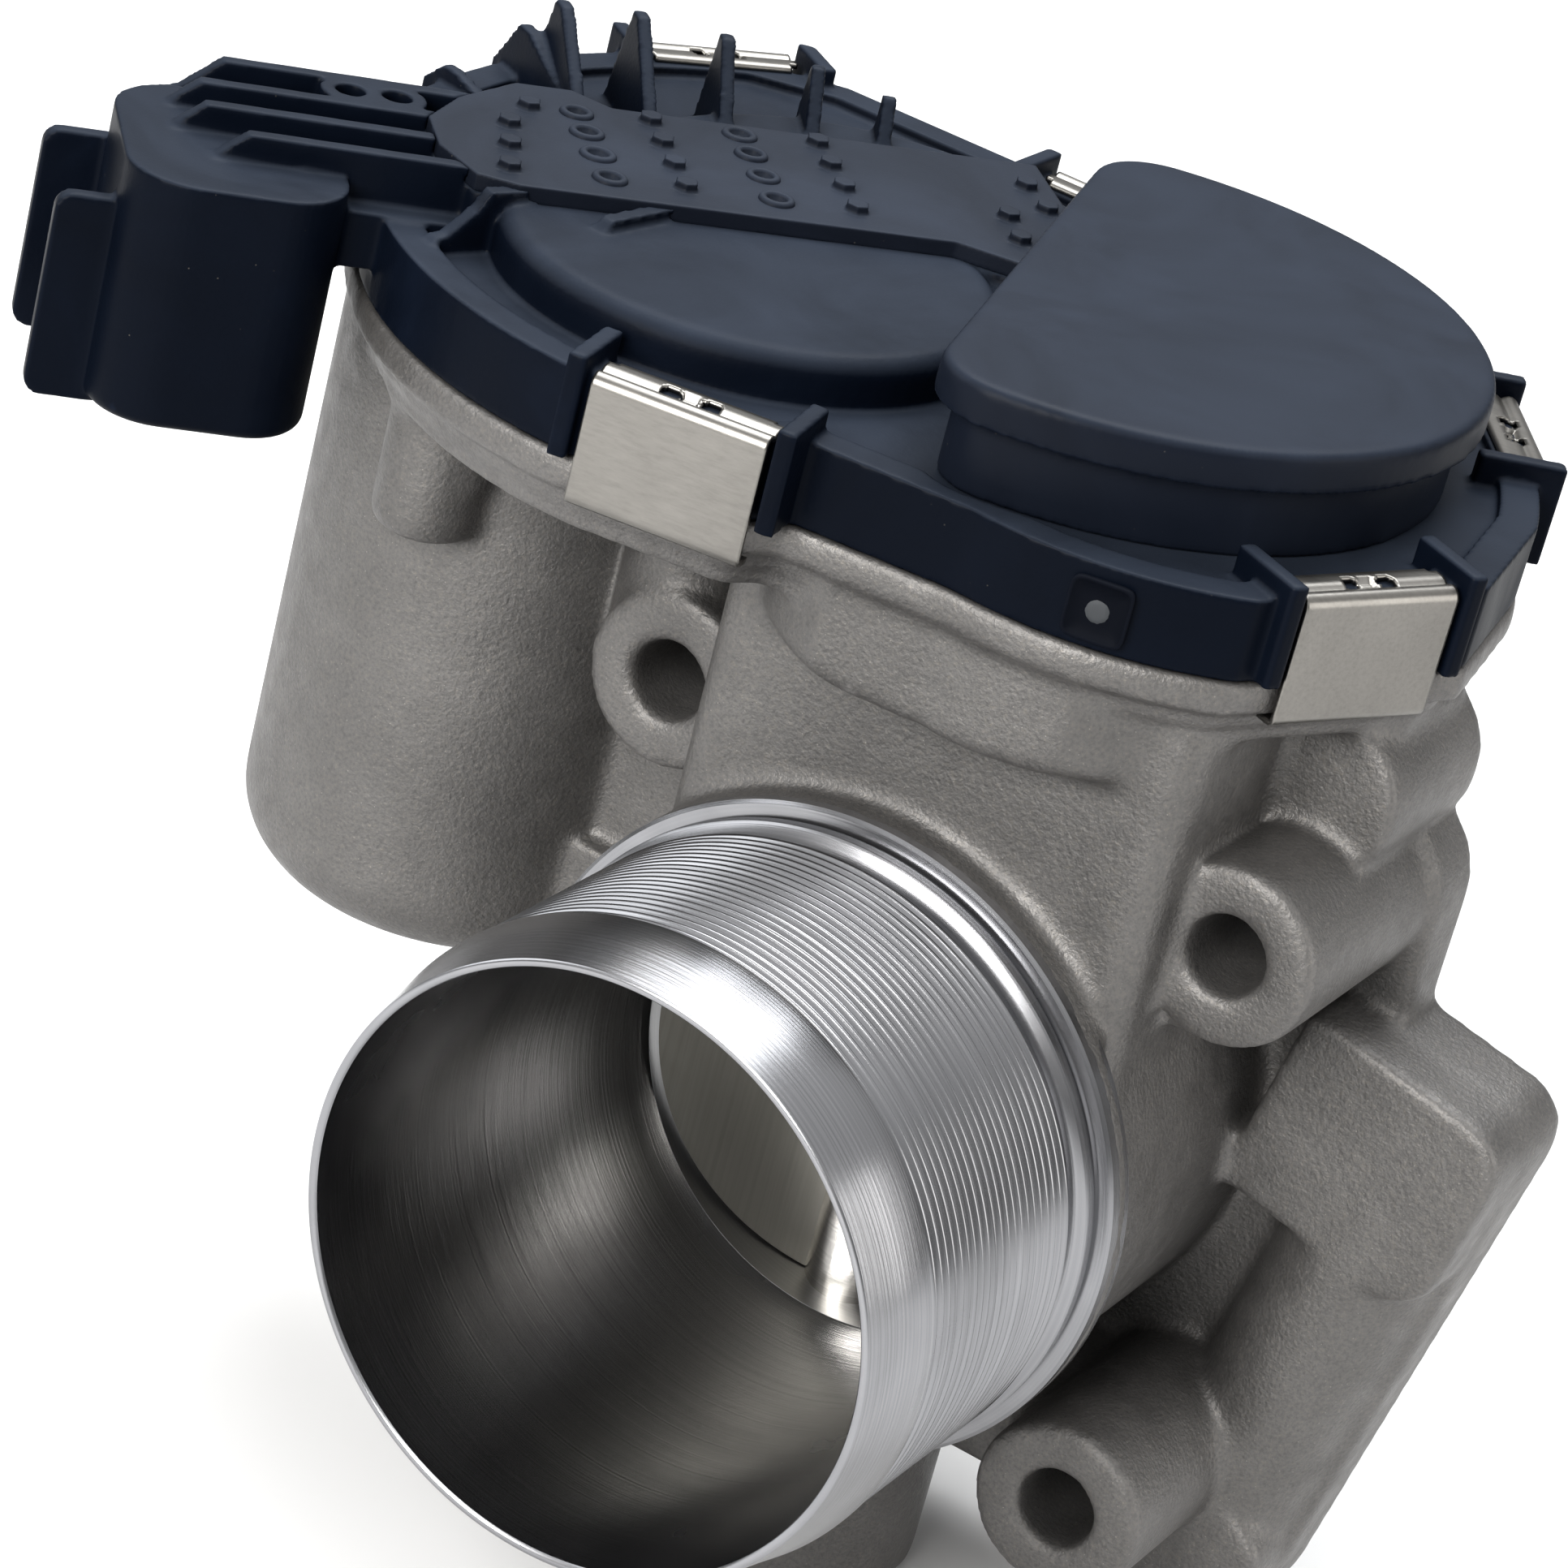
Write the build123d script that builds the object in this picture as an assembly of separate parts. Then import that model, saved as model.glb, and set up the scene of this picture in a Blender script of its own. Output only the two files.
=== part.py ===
from build123d import *

import math
import os

# Electronic throttle body, all sizes in millimetres.
# The origin is on the bore axis, in the face that bolts to the engine.
# +X is right, +Y points into the engine and +Z runs up the throttle shaft to the gear cover.

# ---- driving dimensions: air path -------------------------------------------------------------
bore_radius = 22.0
plate_radius = 21.88
plate_thickness = 1.6
plate_rest_angle = 17.0
snout_mouth_y = -72.4
snout_mouth_radius = 26.0
snout_mouth_bore = 25.0
lip_length = 8.0
ridge_radius = 26.6
ridge_height = 0.45
ridge_count = 20
collar_front_y = -38.6
collar_back_y = -34.8
collar_radius = 28.7
barrel_radius = 26.6
cast_throat_y = -34.0
cast_throat_radius = 22.9
bore_front_y = -27.5

# ---- driving dimensions: engine flange --------------------------------------------------------
flange_front_y = -7.0
bolt_half_spacing = 27.2
bolt_hole_radius = 3.5
boss_face_y = -29.3
boss_radius = 7.9
lug_front_y = -13.5
lug_angle = -11.2
seal_groove_radius = 25.4

# ---- driving dimensions: shafts and gears -----------------------------------------------------
shaft_y = -21.0
shaft_radius = 4.0
sector_teeth = 36
idler_small_teeth = 20
final_module = 1.0
idler_large_teeth = 54
pinion_teeth = 11
first_module = 0.8
pressure_angle = 25.0
motor_x, motor_y = -52.1, -15.0
open_travel = 66.0
closed_travel = 15.0

bearing_radius = 6.5
lower_bearing_radius = 8.0
running_gap = 0.03

# ---- driving dimensions: gear case ------------------------------------------------------------
parting_z = 52.0
tray_floor_z = 47.5
tray_under_z = 44.8
pocket_floor_z = 42.0
pocket_under_z = 39.5
rim_under_z = 48.9
idler_pin_top_z = 56.8
skirt_top_z = 59.2
deck_top_z = 58.2
cover_inner_top_z = 56.0
dome_top_z = 62.6
strip_top_z = 64.0
cap_lid_z = 64.7
cap_top_z = 68.2
can_radius = 19.0
can_bore_radius = 16.8
can_bottom_z = -8.4
lower_boss_radius = 11.8
lower_boss_end_z = -47.0

clip_width = 15.3
clip_top_z = 59.85
clip_bottom_z = 48.3
cap_x, cap_y = -5.8, -8.0
cap_radius = 31.6
cap_chord_distance = 8.8
cap_chord_turn = 15.0
dome_x, dome_y = -33.4, -20.5
dome_radius = 21.5
strip_start_x, strip_start_y = -51.8, -33.9
strip_turn = 45.5

# ---- driving dimensions: connector ------------------------------------------------------------
connector_angle = 43.0
connector_along = -55.2
connector_across = -44.7
connector_length = 18.5
connector_width = 22.4
connector_bottom_z = 40.0
connector_top_z = 61.6

# ---- worked out from the driving dimensions ---------------------------------------------------
sector_pitch_radius = sector_teeth * final_module / 2
idler_small_pitch_radius = idler_small_teeth * final_module / 2
idler_large_pitch_radius = idler_large_teeth * first_module / 2
pinion_pitch_radius = pinion_teeth * first_module / 2
shaft_to_idler = sector_pitch_radius + idler_small_pitch_radius
idler_to_motor = idler_large_pitch_radius + pinion_pitch_radius
motor_reach = math.hypot(motor_x, motor_y - shaft_y)
motor_bearing = math.degrees(math.atan2(motor_y - shaft_y, motor_x)) % 360
idler_turn = math.degrees(math.acos(
    (motor_reach ** 2 + shaft_to_idler ** 2 - idler_to_motor ** 2) / (2 * motor_reach * shaft_to_idler)))
idler_bearing = motor_bearing - idler_turn
idler_x = shaft_to_idler * math.cos(math.radians(idler_bearing))
idler_y = shaft_y + shaft_to_idler * math.sin(math.radians(idler_bearing))
idler_to_motor_bearing = math.degrees(math.atan2(motor_y - idler_y, motor_x - idler_x)) % 360


# ---- small helpers ----------------------------------------------------------------------------
def upright(x, y, bottom, top, radius):
    """Returns a cylinder along Z between two heights."""
    return Pos(x, y, (bottom + top) / 2) * Cylinder(radius, top - bottom)


def ring(x, y, bottom, top, outer, inner):
    """Returns a tube along Z between two heights."""
    return upright(x, y, bottom, top, outer) - upright(x, y, bottom - 1, top + 1, inner)


def lengthwise(x, z, front, back, radius):
    """Returns a cylinder along Y between two stations."""
    return Pos(x, (front + back) / 2, z) * Rot(90, 0, 0) * Cylinder(radius, back - front)


def block(low, high):
    """Returns a box between its lowest and highest corners."""
    size = [b - a for a, b in zip(low, high)]
    middle = [(a + b) / 2 for a, b in zip(low, high)]
    return Pos(*middle) * Box(*size)


def slab(face, bottom, top):
    """Returns a flat XY face extruded between two heights."""
    return extrude(Pos(0, 0, bottom) * face, amount=top - bottom, dir=(0, 0, 1))


def revolved_about_bore(points):
    """Returns a solid turned about the bore axis from (radius, y) points."""
    profile = make_face(Polyline([(r, y) for r, y in points], close=True))
    return revolve(profile, Axis.Y)


def only_solid(shape):
    """Returns the largest solid of a shape, so that a node is one clean body."""
    return max(shape.solids(), key=lambda solid: solid.volume)


def soften(shape, edges, radius):
    """Returns the shape with the edges rounded, trying smaller radii where the full one can't fit."""
    for share in (1.0, 0.7, 0.4):
        try:
            rounded = fillet(edges, radius * share)
            if rounded.is_valid:
                return rounded
        except Exception:
            continue
    return shape


def gear_outline(teeth, module, tooth_bearing):
    """Returns an involute gear face about the origin, with a tooth centred on the given bearing."""
    pitch = teeth * module / 2
    alpha = math.radians(pressure_angle)
    base = pitch * math.cos(alpha)
    tip = pitch + 0.8 * module
    root = pitch - 1.05 * module
    backlash = 0.05 * module / pitch

    def half_width(radius):
        at = math.acos(min(1.0, base / max(radius, base)))
        return math.pi / (2 * teeth) - backlash + (math.tan(alpha) - alpha) - (math.tan(at) - at)

    start = max(root, base)
    flank = [start + (tip - start) * step / 3 for step in range(4)]
    points = []
    for tooth in range(teeth):
        centre = math.radians(tooth_bearing) + 2 * math.pi * tooth / teeth
        left = [(root, -half_width(start))] + [(r, -half_width(r)) for r in flank]
        for radius, turn in left + [(r, -t) for r, t in reversed(left)]:
            points.append((radius * math.cos(centre + turn), radius * math.sin(centre + turn)))
    cleaned = [p for i, p in enumerate(points) if math.dist(p, points[i - 1]) > 0.01]
    return make_face(Polyline(cleaned, close=True))


# ---- shared outlines --------------------------------------------------------------------------
def case_outline(grow=0.0):
    """Returns the plan of the gear case and cover skirt, grown or shrunk by a distance."""
    front_left = ThreePointArc((-31.5, -48.9), (-48.5, -44.9), (-62.0, -34.2))
    left_side = ThreePointArc((-62.0, -34.2), (-74.4, -3.2), (-63.0, 26.6))
    rear = Polyline((-63.0, 26.6), (-54.0, 30.5), (8.0, 30.5), (12.0, 28.2))
    rear_right = ThreePointArc((12.0, 28.2), (22.6, 17.4), (31.0, 2.0))
    right = Polyline((31.0, 2.0), (33.8, -13.7), (23.4, -34.4))
    front_right = ThreePointArc((23.4, -34.4), (14.0, -39.9), (1.0, -41.2))
    front = Polyline((1.0, -41.2), (-13.6, -42.9), (-15.5, -46.0), (-31.5, -48.9))
    outline = make_face([front_left, left_side, *rear.edges(), rear_right, *right.edges(), front_right,
                         *front.edges()])
    if grow:
        outline = offset(outline, amount=grow, kind=Kind.ARC if grow > 0 else Kind.INTERSECTION)
    return outline


def cap_outline(grow=0.0):
    """Returns the D-shaped plan of the sensor cap, centred on the throttle shaft."""
    circle = Pos(cap_x, cap_y) * Circle(cap_radius + grow)
    keep = Pos(cap_x, cap_y) * Rot(0, 0, cap_chord_turn) * Pos(50 - cap_chord_distance - grow, 0) * Rectangle(
        100, 100)
    plan = circle & keep
    return fillet(plan.vertices(), max(1.0, 6.5 + grow))


def connector_frame(along, across):
    """Returns the plan position at a distance along and across the connector's own axes."""
    turn = math.radians(connector_angle)
    x = along * math.cos(turn) + across * math.sin(turn)
    y = along * math.sin(turn) - across * math.cos(turn) - 38.0
    return x, y


def strip_place(along, across):
    """Returns the plan position at a distance along and across the lead strip's own axes."""
    turn = math.radians(strip_turn)
    return (strip_start_x + along * math.cos(turn) - across * math.sin(turn),
            strip_start_y + along * math.sin(turn) + across * math.cos(turn))


def strip_plan(shrink=0.0):
    """Returns the plan of the lead strip: a rounded head on the left and a straight run to the right."""
    corners = [(-0.6, 1.4), (3, 0), (41, 0), (46, -3), (54, -3), (54, 20.6), (15, 20.6), (12, 23.6), (7, 23.6),
               (1, 18.4), (-2.6, 13), (-2.8, 7)]
    plan = make_face(Polyline([strip_place(*corner) for corner in corners], close=True))
    return offset(plan, amount=-shrink, kind=Kind.INTERSECTION) if shrink else plan


def connector_plan(length, width, radius):
    """Returns a rounded rectangle on the connector's centre, turned to its angle."""
    x, y = connector_frame(connector_along, connector_across)
    return Pos(x, y) * Rot(0, 0, connector_angle) * RectangleRounded(length, width, radius)


# ---- housing ----------------------------------------------------------------------------------
bolt_places = [(sx * bolt_half_spacing, sz * bolt_half_spacing) for sx in (-1, 1) for sz in (-1, 1)]
clip_places = [(-22.2, -47.2, 10.3), (28.6, -24.05, 63.3), (21.9, 18.4, 126.0), (-65.3, 24.2, 233.0),
               (-24.0, 30.5, 180.0)]


def snout():
    """Returns the turned hose spigot: mouth lip, fine ridges, groove and collar."""
    lip_end = snout_mouth_y + lip_length
    ridge_end = collar_front_y - 3.2
    pitch = (ridge_end - lip_end) / ridge_count
    points = [(snout_mouth_bore - 1.2, snout_mouth_y), (snout_mouth_radius, snout_mouth_y),
              (snout_mouth_radius + 1.3, lip_end - 0.6), (ridge_radius, lip_end)]
    for ridge in range(ridge_count):
        y = lip_end + ridge * pitch
        points += [(ridge_radius, y + 0.2 * pitch), (ridge_radius + ridge_height, y + 0.5 * pitch),
                   (ridge_radius, y + 0.8 * pitch)]
    points += [(ridge_radius, ridge_end), (ridge_radius - 0.5, ridge_end + 0.4),
               (ridge_radius - 0.5, ridge_end + 1.6), (ridge_radius + 0.9, ridge_end + 2.0),
               (ridge_radius + 0.9, collar_front_y), (collar_radius, collar_front_y + 0.5),
               (collar_radius, collar_back_y), (bore_radius - 1, collar_back_y + 1.0),
               (bore_radius - 1, snout_mouth_y + 20)]
    return revolved_about_bore(points)


def air_path():
    """Returns the hollow of the air path, from the cast mouth to the machined bore."""
    return revolved_about_bore([
        (0, snout_mouth_y - 5), (snout_mouth_bore + 0.35, snout_mouth_y - 5),
        (snout_mouth_bore + 0.35, snout_mouth_y), (snout_mouth_bore, snout_mouth_y + 0.6),
        (snout_mouth_bore - 0.3, snout_mouth_y + 14), (cast_throat_radius + 0.6, cast_throat_y - 5),
        (cast_throat_radius, cast_throat_y), (cast_throat_radius - 0.5, bore_front_y - 0.8),
        (bore_radius, bore_front_y), (bore_radius, 5), (0, 5)])


def flange_plate():
    """Returns the engine flange with its four bolt corners and the slanted lug on the right."""
    corner = bolt_half_spacing + 0.5
    plate = Pos(0, flange_front_y / 2, 0) * Rot(90, 0, 0) * extrude(
        RectangleRounded(2 * corner + 16.4, 2 * corner + 16.4, 8.5), amount=-flange_front_y / 2, both=True)
    slant = Pos(31.0, 0, -13.5) * Rot(0, -lug_angle, 0)
    wing = slant * block((-14, flange_front_y, -27), (14.0, 0, 31.0))
    wing = soften(wing, wing.edges().filter_by(Axis.Y), 4.5)
    upper_lug = slant * block((-7, lug_front_y, 12.0), (13.8, 0, 30.8))
    upper_lug = soften(upper_lug, upper_lug.edges().filter_by(Axis.Y).sort_by(Axis.X)[-2:], 4.2)
    lower_lug = slant * block((-7, lug_front_y, -26.8), (13.8, 0, -15))
    lower_lug = soften(lower_lug, lower_lug.edges().filter_by(Axis.Y).sort_by(Axis.X)[-2:], 4.2)
    spine = slant * Pos(5.9, flange_front_y + 0.5, 0) * Cylinder(7.2, 38)
    keep_front = block((-60, -40, -60), (90, 0, 60))
    return plate + wing + upper_lug + lower_lug + (spine & keep_front)


def bolt_bosses():
    """Returns the four long screw bosses, their columns up to the tray and the right-hand lobe."""
    solid = Part()
    for x, z in bolt_places:
        solid += lengthwise(x, z, boss_face_y, 0, boss_radius)
        web = block((min(0, x) * 0.9, -22, z - 4.5), (max(0, x) * 0.9, -6, z + 4.5))
        solid += web
    solid += upright(-30.4, -22.4, 27.2, tray_floor_z, 6.2)
    solid += block((-36.4, -22.4, 27.2), (-24.4, -8, tray_floor_z - 1))
    solid += lengthwise(25.6, 38.2, -17.5, 0, 7.8)
    column = block((18, -15.5, 27), (31.0, 0, tray_under_z + 1))
    solid += soften(column, column.edges().filter_by(Axis.Z), 3.5)
    solid += block((14, boss_face_y + 2.5, 18), (27.2, -4, 33.5))
    return solid


def housing_body():
    """Returns the outside of the casting, before its hollows are cut."""
    barrel = lengthwise(0, 0, collar_back_y - 0.2, 0, barrel_radius)
    neck = block((-22.2, -34.5, 8), (22.5, -3.0, tray_under_z + 0.5))
    neck = soften(neck, neck.edges().filter_by(Axis.Z), 3.0)
    tray = slab(case_outline(-2.4), tray_under_z, tray_floor_z + 1)
    rim = slab(case_outline(0.35), rim_under_z, parting_z) + slab(
        case_outline(-1.4), tray_floor_z - 0.5, rim_under_z + 1)
    pocket = upright(0, shaft_y, pocket_under_z, tray_floor_z + 1, sector_pitch_radius + 4.5)
    pocket = soften(pocket, pocket.edges().sort_by(Axis.Z)[:1], 2.2)
    pocket = pocket & slab(case_outline(-0.8), pocket_under_z - 1, parting_z)
    idler_pocket = upright(idler_x, idler_y, pocket_under_z, tray_floor_z + 1, idler_small_pitch_radius + 4.2)
    can = upright(motor_x, motor_y, can_bottom_z, tray_floor_z + 1, can_radius)
    can = soften(can, can.edges().sort_by(Axis.Z)[:1], 8.0)
    lower_boss = upright(0, shaft_y, lower_boss_end_z, 0, lower_boss_radius)
    can_boss = upright(-50.3, -34.6, 33.0, tray_floor_z + 1, 4.7)
    can_boss = soften(can_boss, can_boss.edges().sort_by(Axis.Z)[:1], 1.5)
    bridge = block((-38, -22, 6), (-18, -9, tray_under_z + 1))
    gusset = block((-46, -24, -1), (-22, -14, 6.5))
    solid = snout() + barrel + neck + tray + rim + pocket + idler_pocket + can + lower_boss + can_boss
    solid += bridge + gusset + bolt_bosses() + flange_plate()
    return solid


def housing_hollows():
    """Returns everything that is cut out of the casting."""
    cut = air_path()
    cut += slab(case_outline(-3.4), tray_floor_z, parting_z + 1)
    cut += upright(0, shaft_y, pocket_floor_z, parting_z, sector_pitch_radius + 2.0) & slab(
        case_outline(-3.4), pocket_floor_z, parting_z)
    cut += upright(idler_x, idler_y, pocket_floor_z, parting_z, idler_small_pitch_radius + 1.8)
    cut += upright(motor_x, motor_y, can_bottom_z + 2.6, parting_z, can_bore_radius)
    cut += upright(0, shaft_y, lower_boss_end_z - 1, pocket_floor_z + 6, shaft_radius + 0.35)
    cut += upright(0, shaft_y, 29.0, pocket_floor_z + 1, bearing_radius)
    cut += upright(0, shaft_y, lower_boss_end_z - 1, -29.0, lower_bearing_radius)
    for x, z in bolt_places:
        cut += lengthwise(x, z, boss_face_y - 1, 1, bolt_hole_radius)
    groove = revolved_about_bore([(seal_groove_radius - 1.3, -2.4), (seal_groove_radius + 1.3, -2.4),
                                  (seal_groove_radius + 1.3, 1), (seal_groove_radius - 1.3, 1)])
    return cut + groove


def seal_channel():
    """Returns the groove for the cover seal in the casting's rim."""
    return slab(case_outline(-1.1) - case_outline(-2.5), parting_z - 1.3, parting_z + 0.5)


def motor_screw_places():
    """Returns the plan positions of the two screws that hold the motor."""
    turns = (math.radians(100), math.radians(280))
    return [(motor_x + 19.6 * math.cos(t), motor_y + 19.6 * math.sin(t)) for t in turns]


def housing():
    """Returns the finished casting."""
    solid = housing_body() - housing_hollows()
    bearing_boss = ring(0, shaft_y, pocket_floor_z - 1, pocket_floor_z + 2.8, bearing_radius + 1.2, bearing_radius)
    idler_post = upright(idler_x, idler_y, pocket_floor_z - 1, pocket_floor_z + 3.2, 4.6)
    screw_posts = Part()
    screw_holes = upright(idler_x, idler_y, pocket_under_z + 0.6, 60, 2.5)
    for x, y in motor_screw_places():
        screw_posts += upright(x, y, tray_floor_z - 9, tray_floor_z, 3.6)
        screw_holes += upright(x, y, tray_floor_z - 7, tray_floor_z + 1, 1.9)
    motor_room = upright(motor_x, motor_y, can_bottom_z + 2.6, parting_z, can_bore_radius)
    solid = solid + bearing_boss + idler_post + (screw_posts - motor_room)
    return only_solid(solid - screw_holes - seal_channel())


# ---- gear cover -------------------------------------------------------------------------------
def fin(foot, direction, length, peak, thickness=1.3):
    """Returns a thin upright triangular gusset that rises from its foot to a peak and falls again."""
    profile = make_face(Polyline((0, -2), (0, 0.4), (length * 0.72, peak), (length * 0.82, peak),
                                 (length, 0.6), (length, -2), close=True))
    gusset = Rot(90, 0, 0) * extrude(profile, amount=thickness / 2, both=True)
    return Pos(foot[0], foot[1], deck_top_z) * Rot(0, 0, direction) * gusset


def clip_guides():
    """Returns the low walls that stand on both sides of each clip."""
    walls = Part()
    for x, y, turn in clip_places:
        for side in (-1, 1):
            walls += Pos(x, y) * Rot(0, 0, turn) * Pos(side * (clip_width / 2 + 1.4), 1.6, 0) * block(
                (-0.8, -3.2, parting_z + 0.1), (0.8, 4.4, skirt_top_z + 1.9))
    return walls & slab(case_outline(3.2), parting_z, deck_top_z + 4)


def connector_body():
    """Returns the outside of the connector with its beam to the cover and its two guard tabs."""
    shell = slab(connector_plan(connector_length, connector_width, 6.0), connector_bottom_z, connector_top_z)
    shell = soften(shell, shell.edges().group_by(Axis.Z)[0], 1.2)
    beam_x, beam_y = connector_frame(connector_along + 14, -48.2)
    beam = Pos(beam_x, beam_y) * Rot(0, 0, connector_angle) * block((-15, -9.6, 54.6), (14, 10.4, 59.6))
    tabs = Part()
    for across in (-53.2, -39.6):
        x, y = connector_frame(-66.4, across)
        tab = Pos(x, y) * Rot(0, 0, connector_angle) * block((-2.9, -0.8, 39.5), (4, 0.8, 57.5))
        tabs += soften(tab, tab.edges().filter_by(lambda e: abs(e.length - 1.6) < 0.01), 1.5)
    latch_x, latch_y = connector_frame(-64.4, -46.4)
    ramp = Pos(latch_x, latch_y) * Rot(0, 0, connector_angle) * Rot(90, 0, 0) * extrude(
        make_face(Polyline((1, 46), (-0.4, 46), (-2.0, 50), (-2.0, 51), (1, 51), close=True)), amount=2, both=True)
    rim_room = slab(case_outline(0.9), 30, parting_z)
    return shell + beam + tabs + ramp - rim_room


def connector_hollow():
    """Returns the socket that the harness plug goes into, open at the bottom."""
    return slab(connector_plan(connector_length - 3.6, connector_width - 3.6, 4.4), connector_bottom_z - 1, 56.0)


def top_ribs():
    """Returns the four long ribs from the connector to the lead strip."""
    ribs = Part()
    for across, start, length in ((-41.4, -59.5, 24.0), (-46.8, -62.5, 27.0), (-51.8, -62.5, 28.5), (-57.4, -60.0, 31.0)):
        x, y = connector_frame(start, across)
        profile = make_face(Polyline((0, 56), (0, connector_top_z - 1.0), (1.5, connector_top_z - 0.6),
                                     (5.0, strip_top_z), (length, strip_top_z), (length, 56), close=True))
        ribs += Pos(x, y) * Rot(0, 0, connector_angle) * Rot(90, 0, 0) * extrude(profile, amount=0.75, both=True)
    for along in (-44.5, -40.5):
        x, y = connector_frame(along, -54.6)
        ribs += upright(x, y, 56, strip_top_z, 2.6) - upright(x, y, 55, strip_top_z + 1, 1.3)
    return ribs


def front_ribs():
    """Returns the two stepped ribs from the lead strip down over the dome to the skirt."""
    ribs = Part()
    for start, end in (((-49.6, -30.9), (-52.9, -39.0)), ((-41.2, -22.4), (-43.7, -38.6))):
        reach = math.dist(start, end)
        direction = math.degrees(math.atan2(end[1] - start[1], end[0] - start[0]))
        profile = make_face(Polyline((-2, 57), (-2, strip_top_z - 0.4), (reach * 0.45, strip_top_z - 0.4),
                                     (reach * 0.55, 62.2), (reach * 0.85, 60.0), (reach, 59.6), (reach, 57),
                                     close=True))
        ribs += Pos(*start) * Rot(0, 0, direction) * Rot(90, 0, 0) * extrude(profile, amount=0.75, both=True)
    return ribs & slab(case_outline(-0.5), 50, 70)


def rear_fins():
    """Returns the gussets that fan out behind the lead strip."""
    fins = Part()
    for foot, direction, length, peak in (((-64.2, -9.5), 166, 12, 2.6), ((-57.9, -6.6), 150, 20, 5.5),
                                          ((-58.1, -7.7), 140, 17, 9.2), ((-53.9, -3.0), 138, 15.5, 9.5),
                                          ((-49.2, 1.4), 132, 13.5, 9.2), ((-44.3, 7.6), 128, 10, 8.2),
                                          ((-39.8, 12.2), 125, 7.5, 7.0)):
        fins += fin(foot, direction, length, peak)
    return fins


def gear_cover():
    """Returns the plastic gear cover with its skirt, deck, dome, ribs and connector shroud."""
    skirt = slab(case_outline(), parting_z, skirt_top_z)
    sink = slab(case_outline(-3.4), deck_top_z, skirt_top_z + 1)
    dome = upright(dome_x, dome_y, deck_top_z - 0.5, dome_top_z, dome_radius)
    dome = soften(dome, dome.edges().sort_by(Axis.Z)[-1:], 2.0)
    rear_dome = upright(idler_x - 6, idler_y + 9, deck_top_z - 0.5, dome_top_z - 1.2, 24.0)
    rear_dome = soften(rear_dome, rear_dome.edges().sort_by(Axis.Z)[-1:], 1.2)
    base = slab(strip_plan(), deck_top_z - 0.5, strip_top_z - 1.6)
    solid = (skirt - sink) + dome + rear_dome + base + connector_body() + top_ribs() + front_ribs()
    solid += rear_fins() + clip_guides()
    hollow = slab(case_outline(-3.4), parting_z - 1, cover_inner_top_z)
    hollow += upright(idler_x, idler_y, parting_z, idler_pin_top_z + 0.2, 2.52)
    sensor_window = upright(0, shaft_y, parting_z, deck_top_z + 9, 7.5)
    strip_room = slab(strip_plan(-0.05), strip_top_z - 1.6, strip_top_z + 4)
    cap_room = slab(cap_outline(0.15), deck_top_z, cap_top_z + 1)
    casting_room = slab(case_outline(1.2), parting_z - 15, parting_z)
    solid = solid - hollow - sensor_window - strip_room - cap_room - casting_room - connector_hollow()
    return only_solid(solid - connector_pin_block(0.02) - lead_pins(0.02) - motor_terminals_block(0.02))


def connector_pin_places():
    """Returns the plan positions of the six blades in the connector, in two rows."""
    return [connector_frame(connector_along + row * 3.6, connector_across + column * 5.0)
            for row in (-1, 1) for column in (-1, 0, 1)]


def connector_pin_block(gap=0.0):
    """Returns the connector blades, thicker by the gap where the cover is cut for them."""
    blades = Part()
    for x, y in connector_pin_places():
        blades += Pos(x, y) * Rot(0, 0, connector_angle) * block(
            (-0.4 - gap, -1.2 - gap, 45.0), (0.4 + gap, 1.2 + gap, 58.5))
    return blades


def lead_strip():
    """Returns the moulded strip over the lead frame, with weld studs and pin craters."""
    strip = slab(strip_plan(), strip_top_z - 1.6, strip_top_z)
    strip = strip - slab(cap_outline(0.3), deck_top_z, cap_top_z)
    for along in (11.3, 25.9):
        for across in (3.9, 8.9, 13.6, 18.0):
            x, y = strip_place(along, across)
            strip -= Pos(x, y, strip_top_z) * Cone(0.9, 1.7, 0.8)
            strip += upright(x, y, strip_top_z - 1.2, strip_top_z - 0.1, 0.45)
    for x, y in stud_places():
        stud = Pos(x, y, strip_top_z - 0.5) * extrude(RegularPolygon(1.05, 6), amount=1.3)
        strip += stud
    return only_solid(strip)


def stud_places():
    """Returns the plan positions of the hexagonal weld studs on the lead strip."""
    places = [(7.0, 17.9), (4.4, 13.3), (3.5, 8.4), (2.5, 3.4)]
    places += [(along, across) for along in (17.9, 33.0) for across in (3.9, 8.6, 13.4, 18.2)]
    places += [(47.5, 6.9), (47.1, 1.8), (51.3, 14.6), (51.8, 9.6)]
    return [strip_place(along, across) for along, across in places]


def sensor_cap():
    """Returns the D-shaped lid over the position sensor, with its wider top tier."""
    lower = slab(cap_outline(-1.8), deck_top_z, cap_lid_z + 0.5)
    lid = slab(cap_outline(), cap_lid_z, cap_top_z)
    lid = soften(lid, lid.edges().group_by(Axis.Z)[-1], 0.9)
    keep_inside = slab(case_outline(-0.2), deck_top_z - 1, cap_lid_z) + slab(cap_outline(), cap_lid_z, cap_top_z)
    cavity = slab(cap_outline(-4.4), deck_top_z - 1, cap_top_z - 2.2)
    strip_notch = slab(strip_plan(-0.2), deck_top_z - 1, strip_top_z)
    return only_solid(((lower + lid) & keep_inside) - cavity - strip_notch)


def cover_seal():
    """Returns the seal that lies in the groove of the casting's rim."""
    return slab(case_outline(-1.15) - case_outline(-2.45), parting_z - 1.25, parting_z - 0.02)


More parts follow.
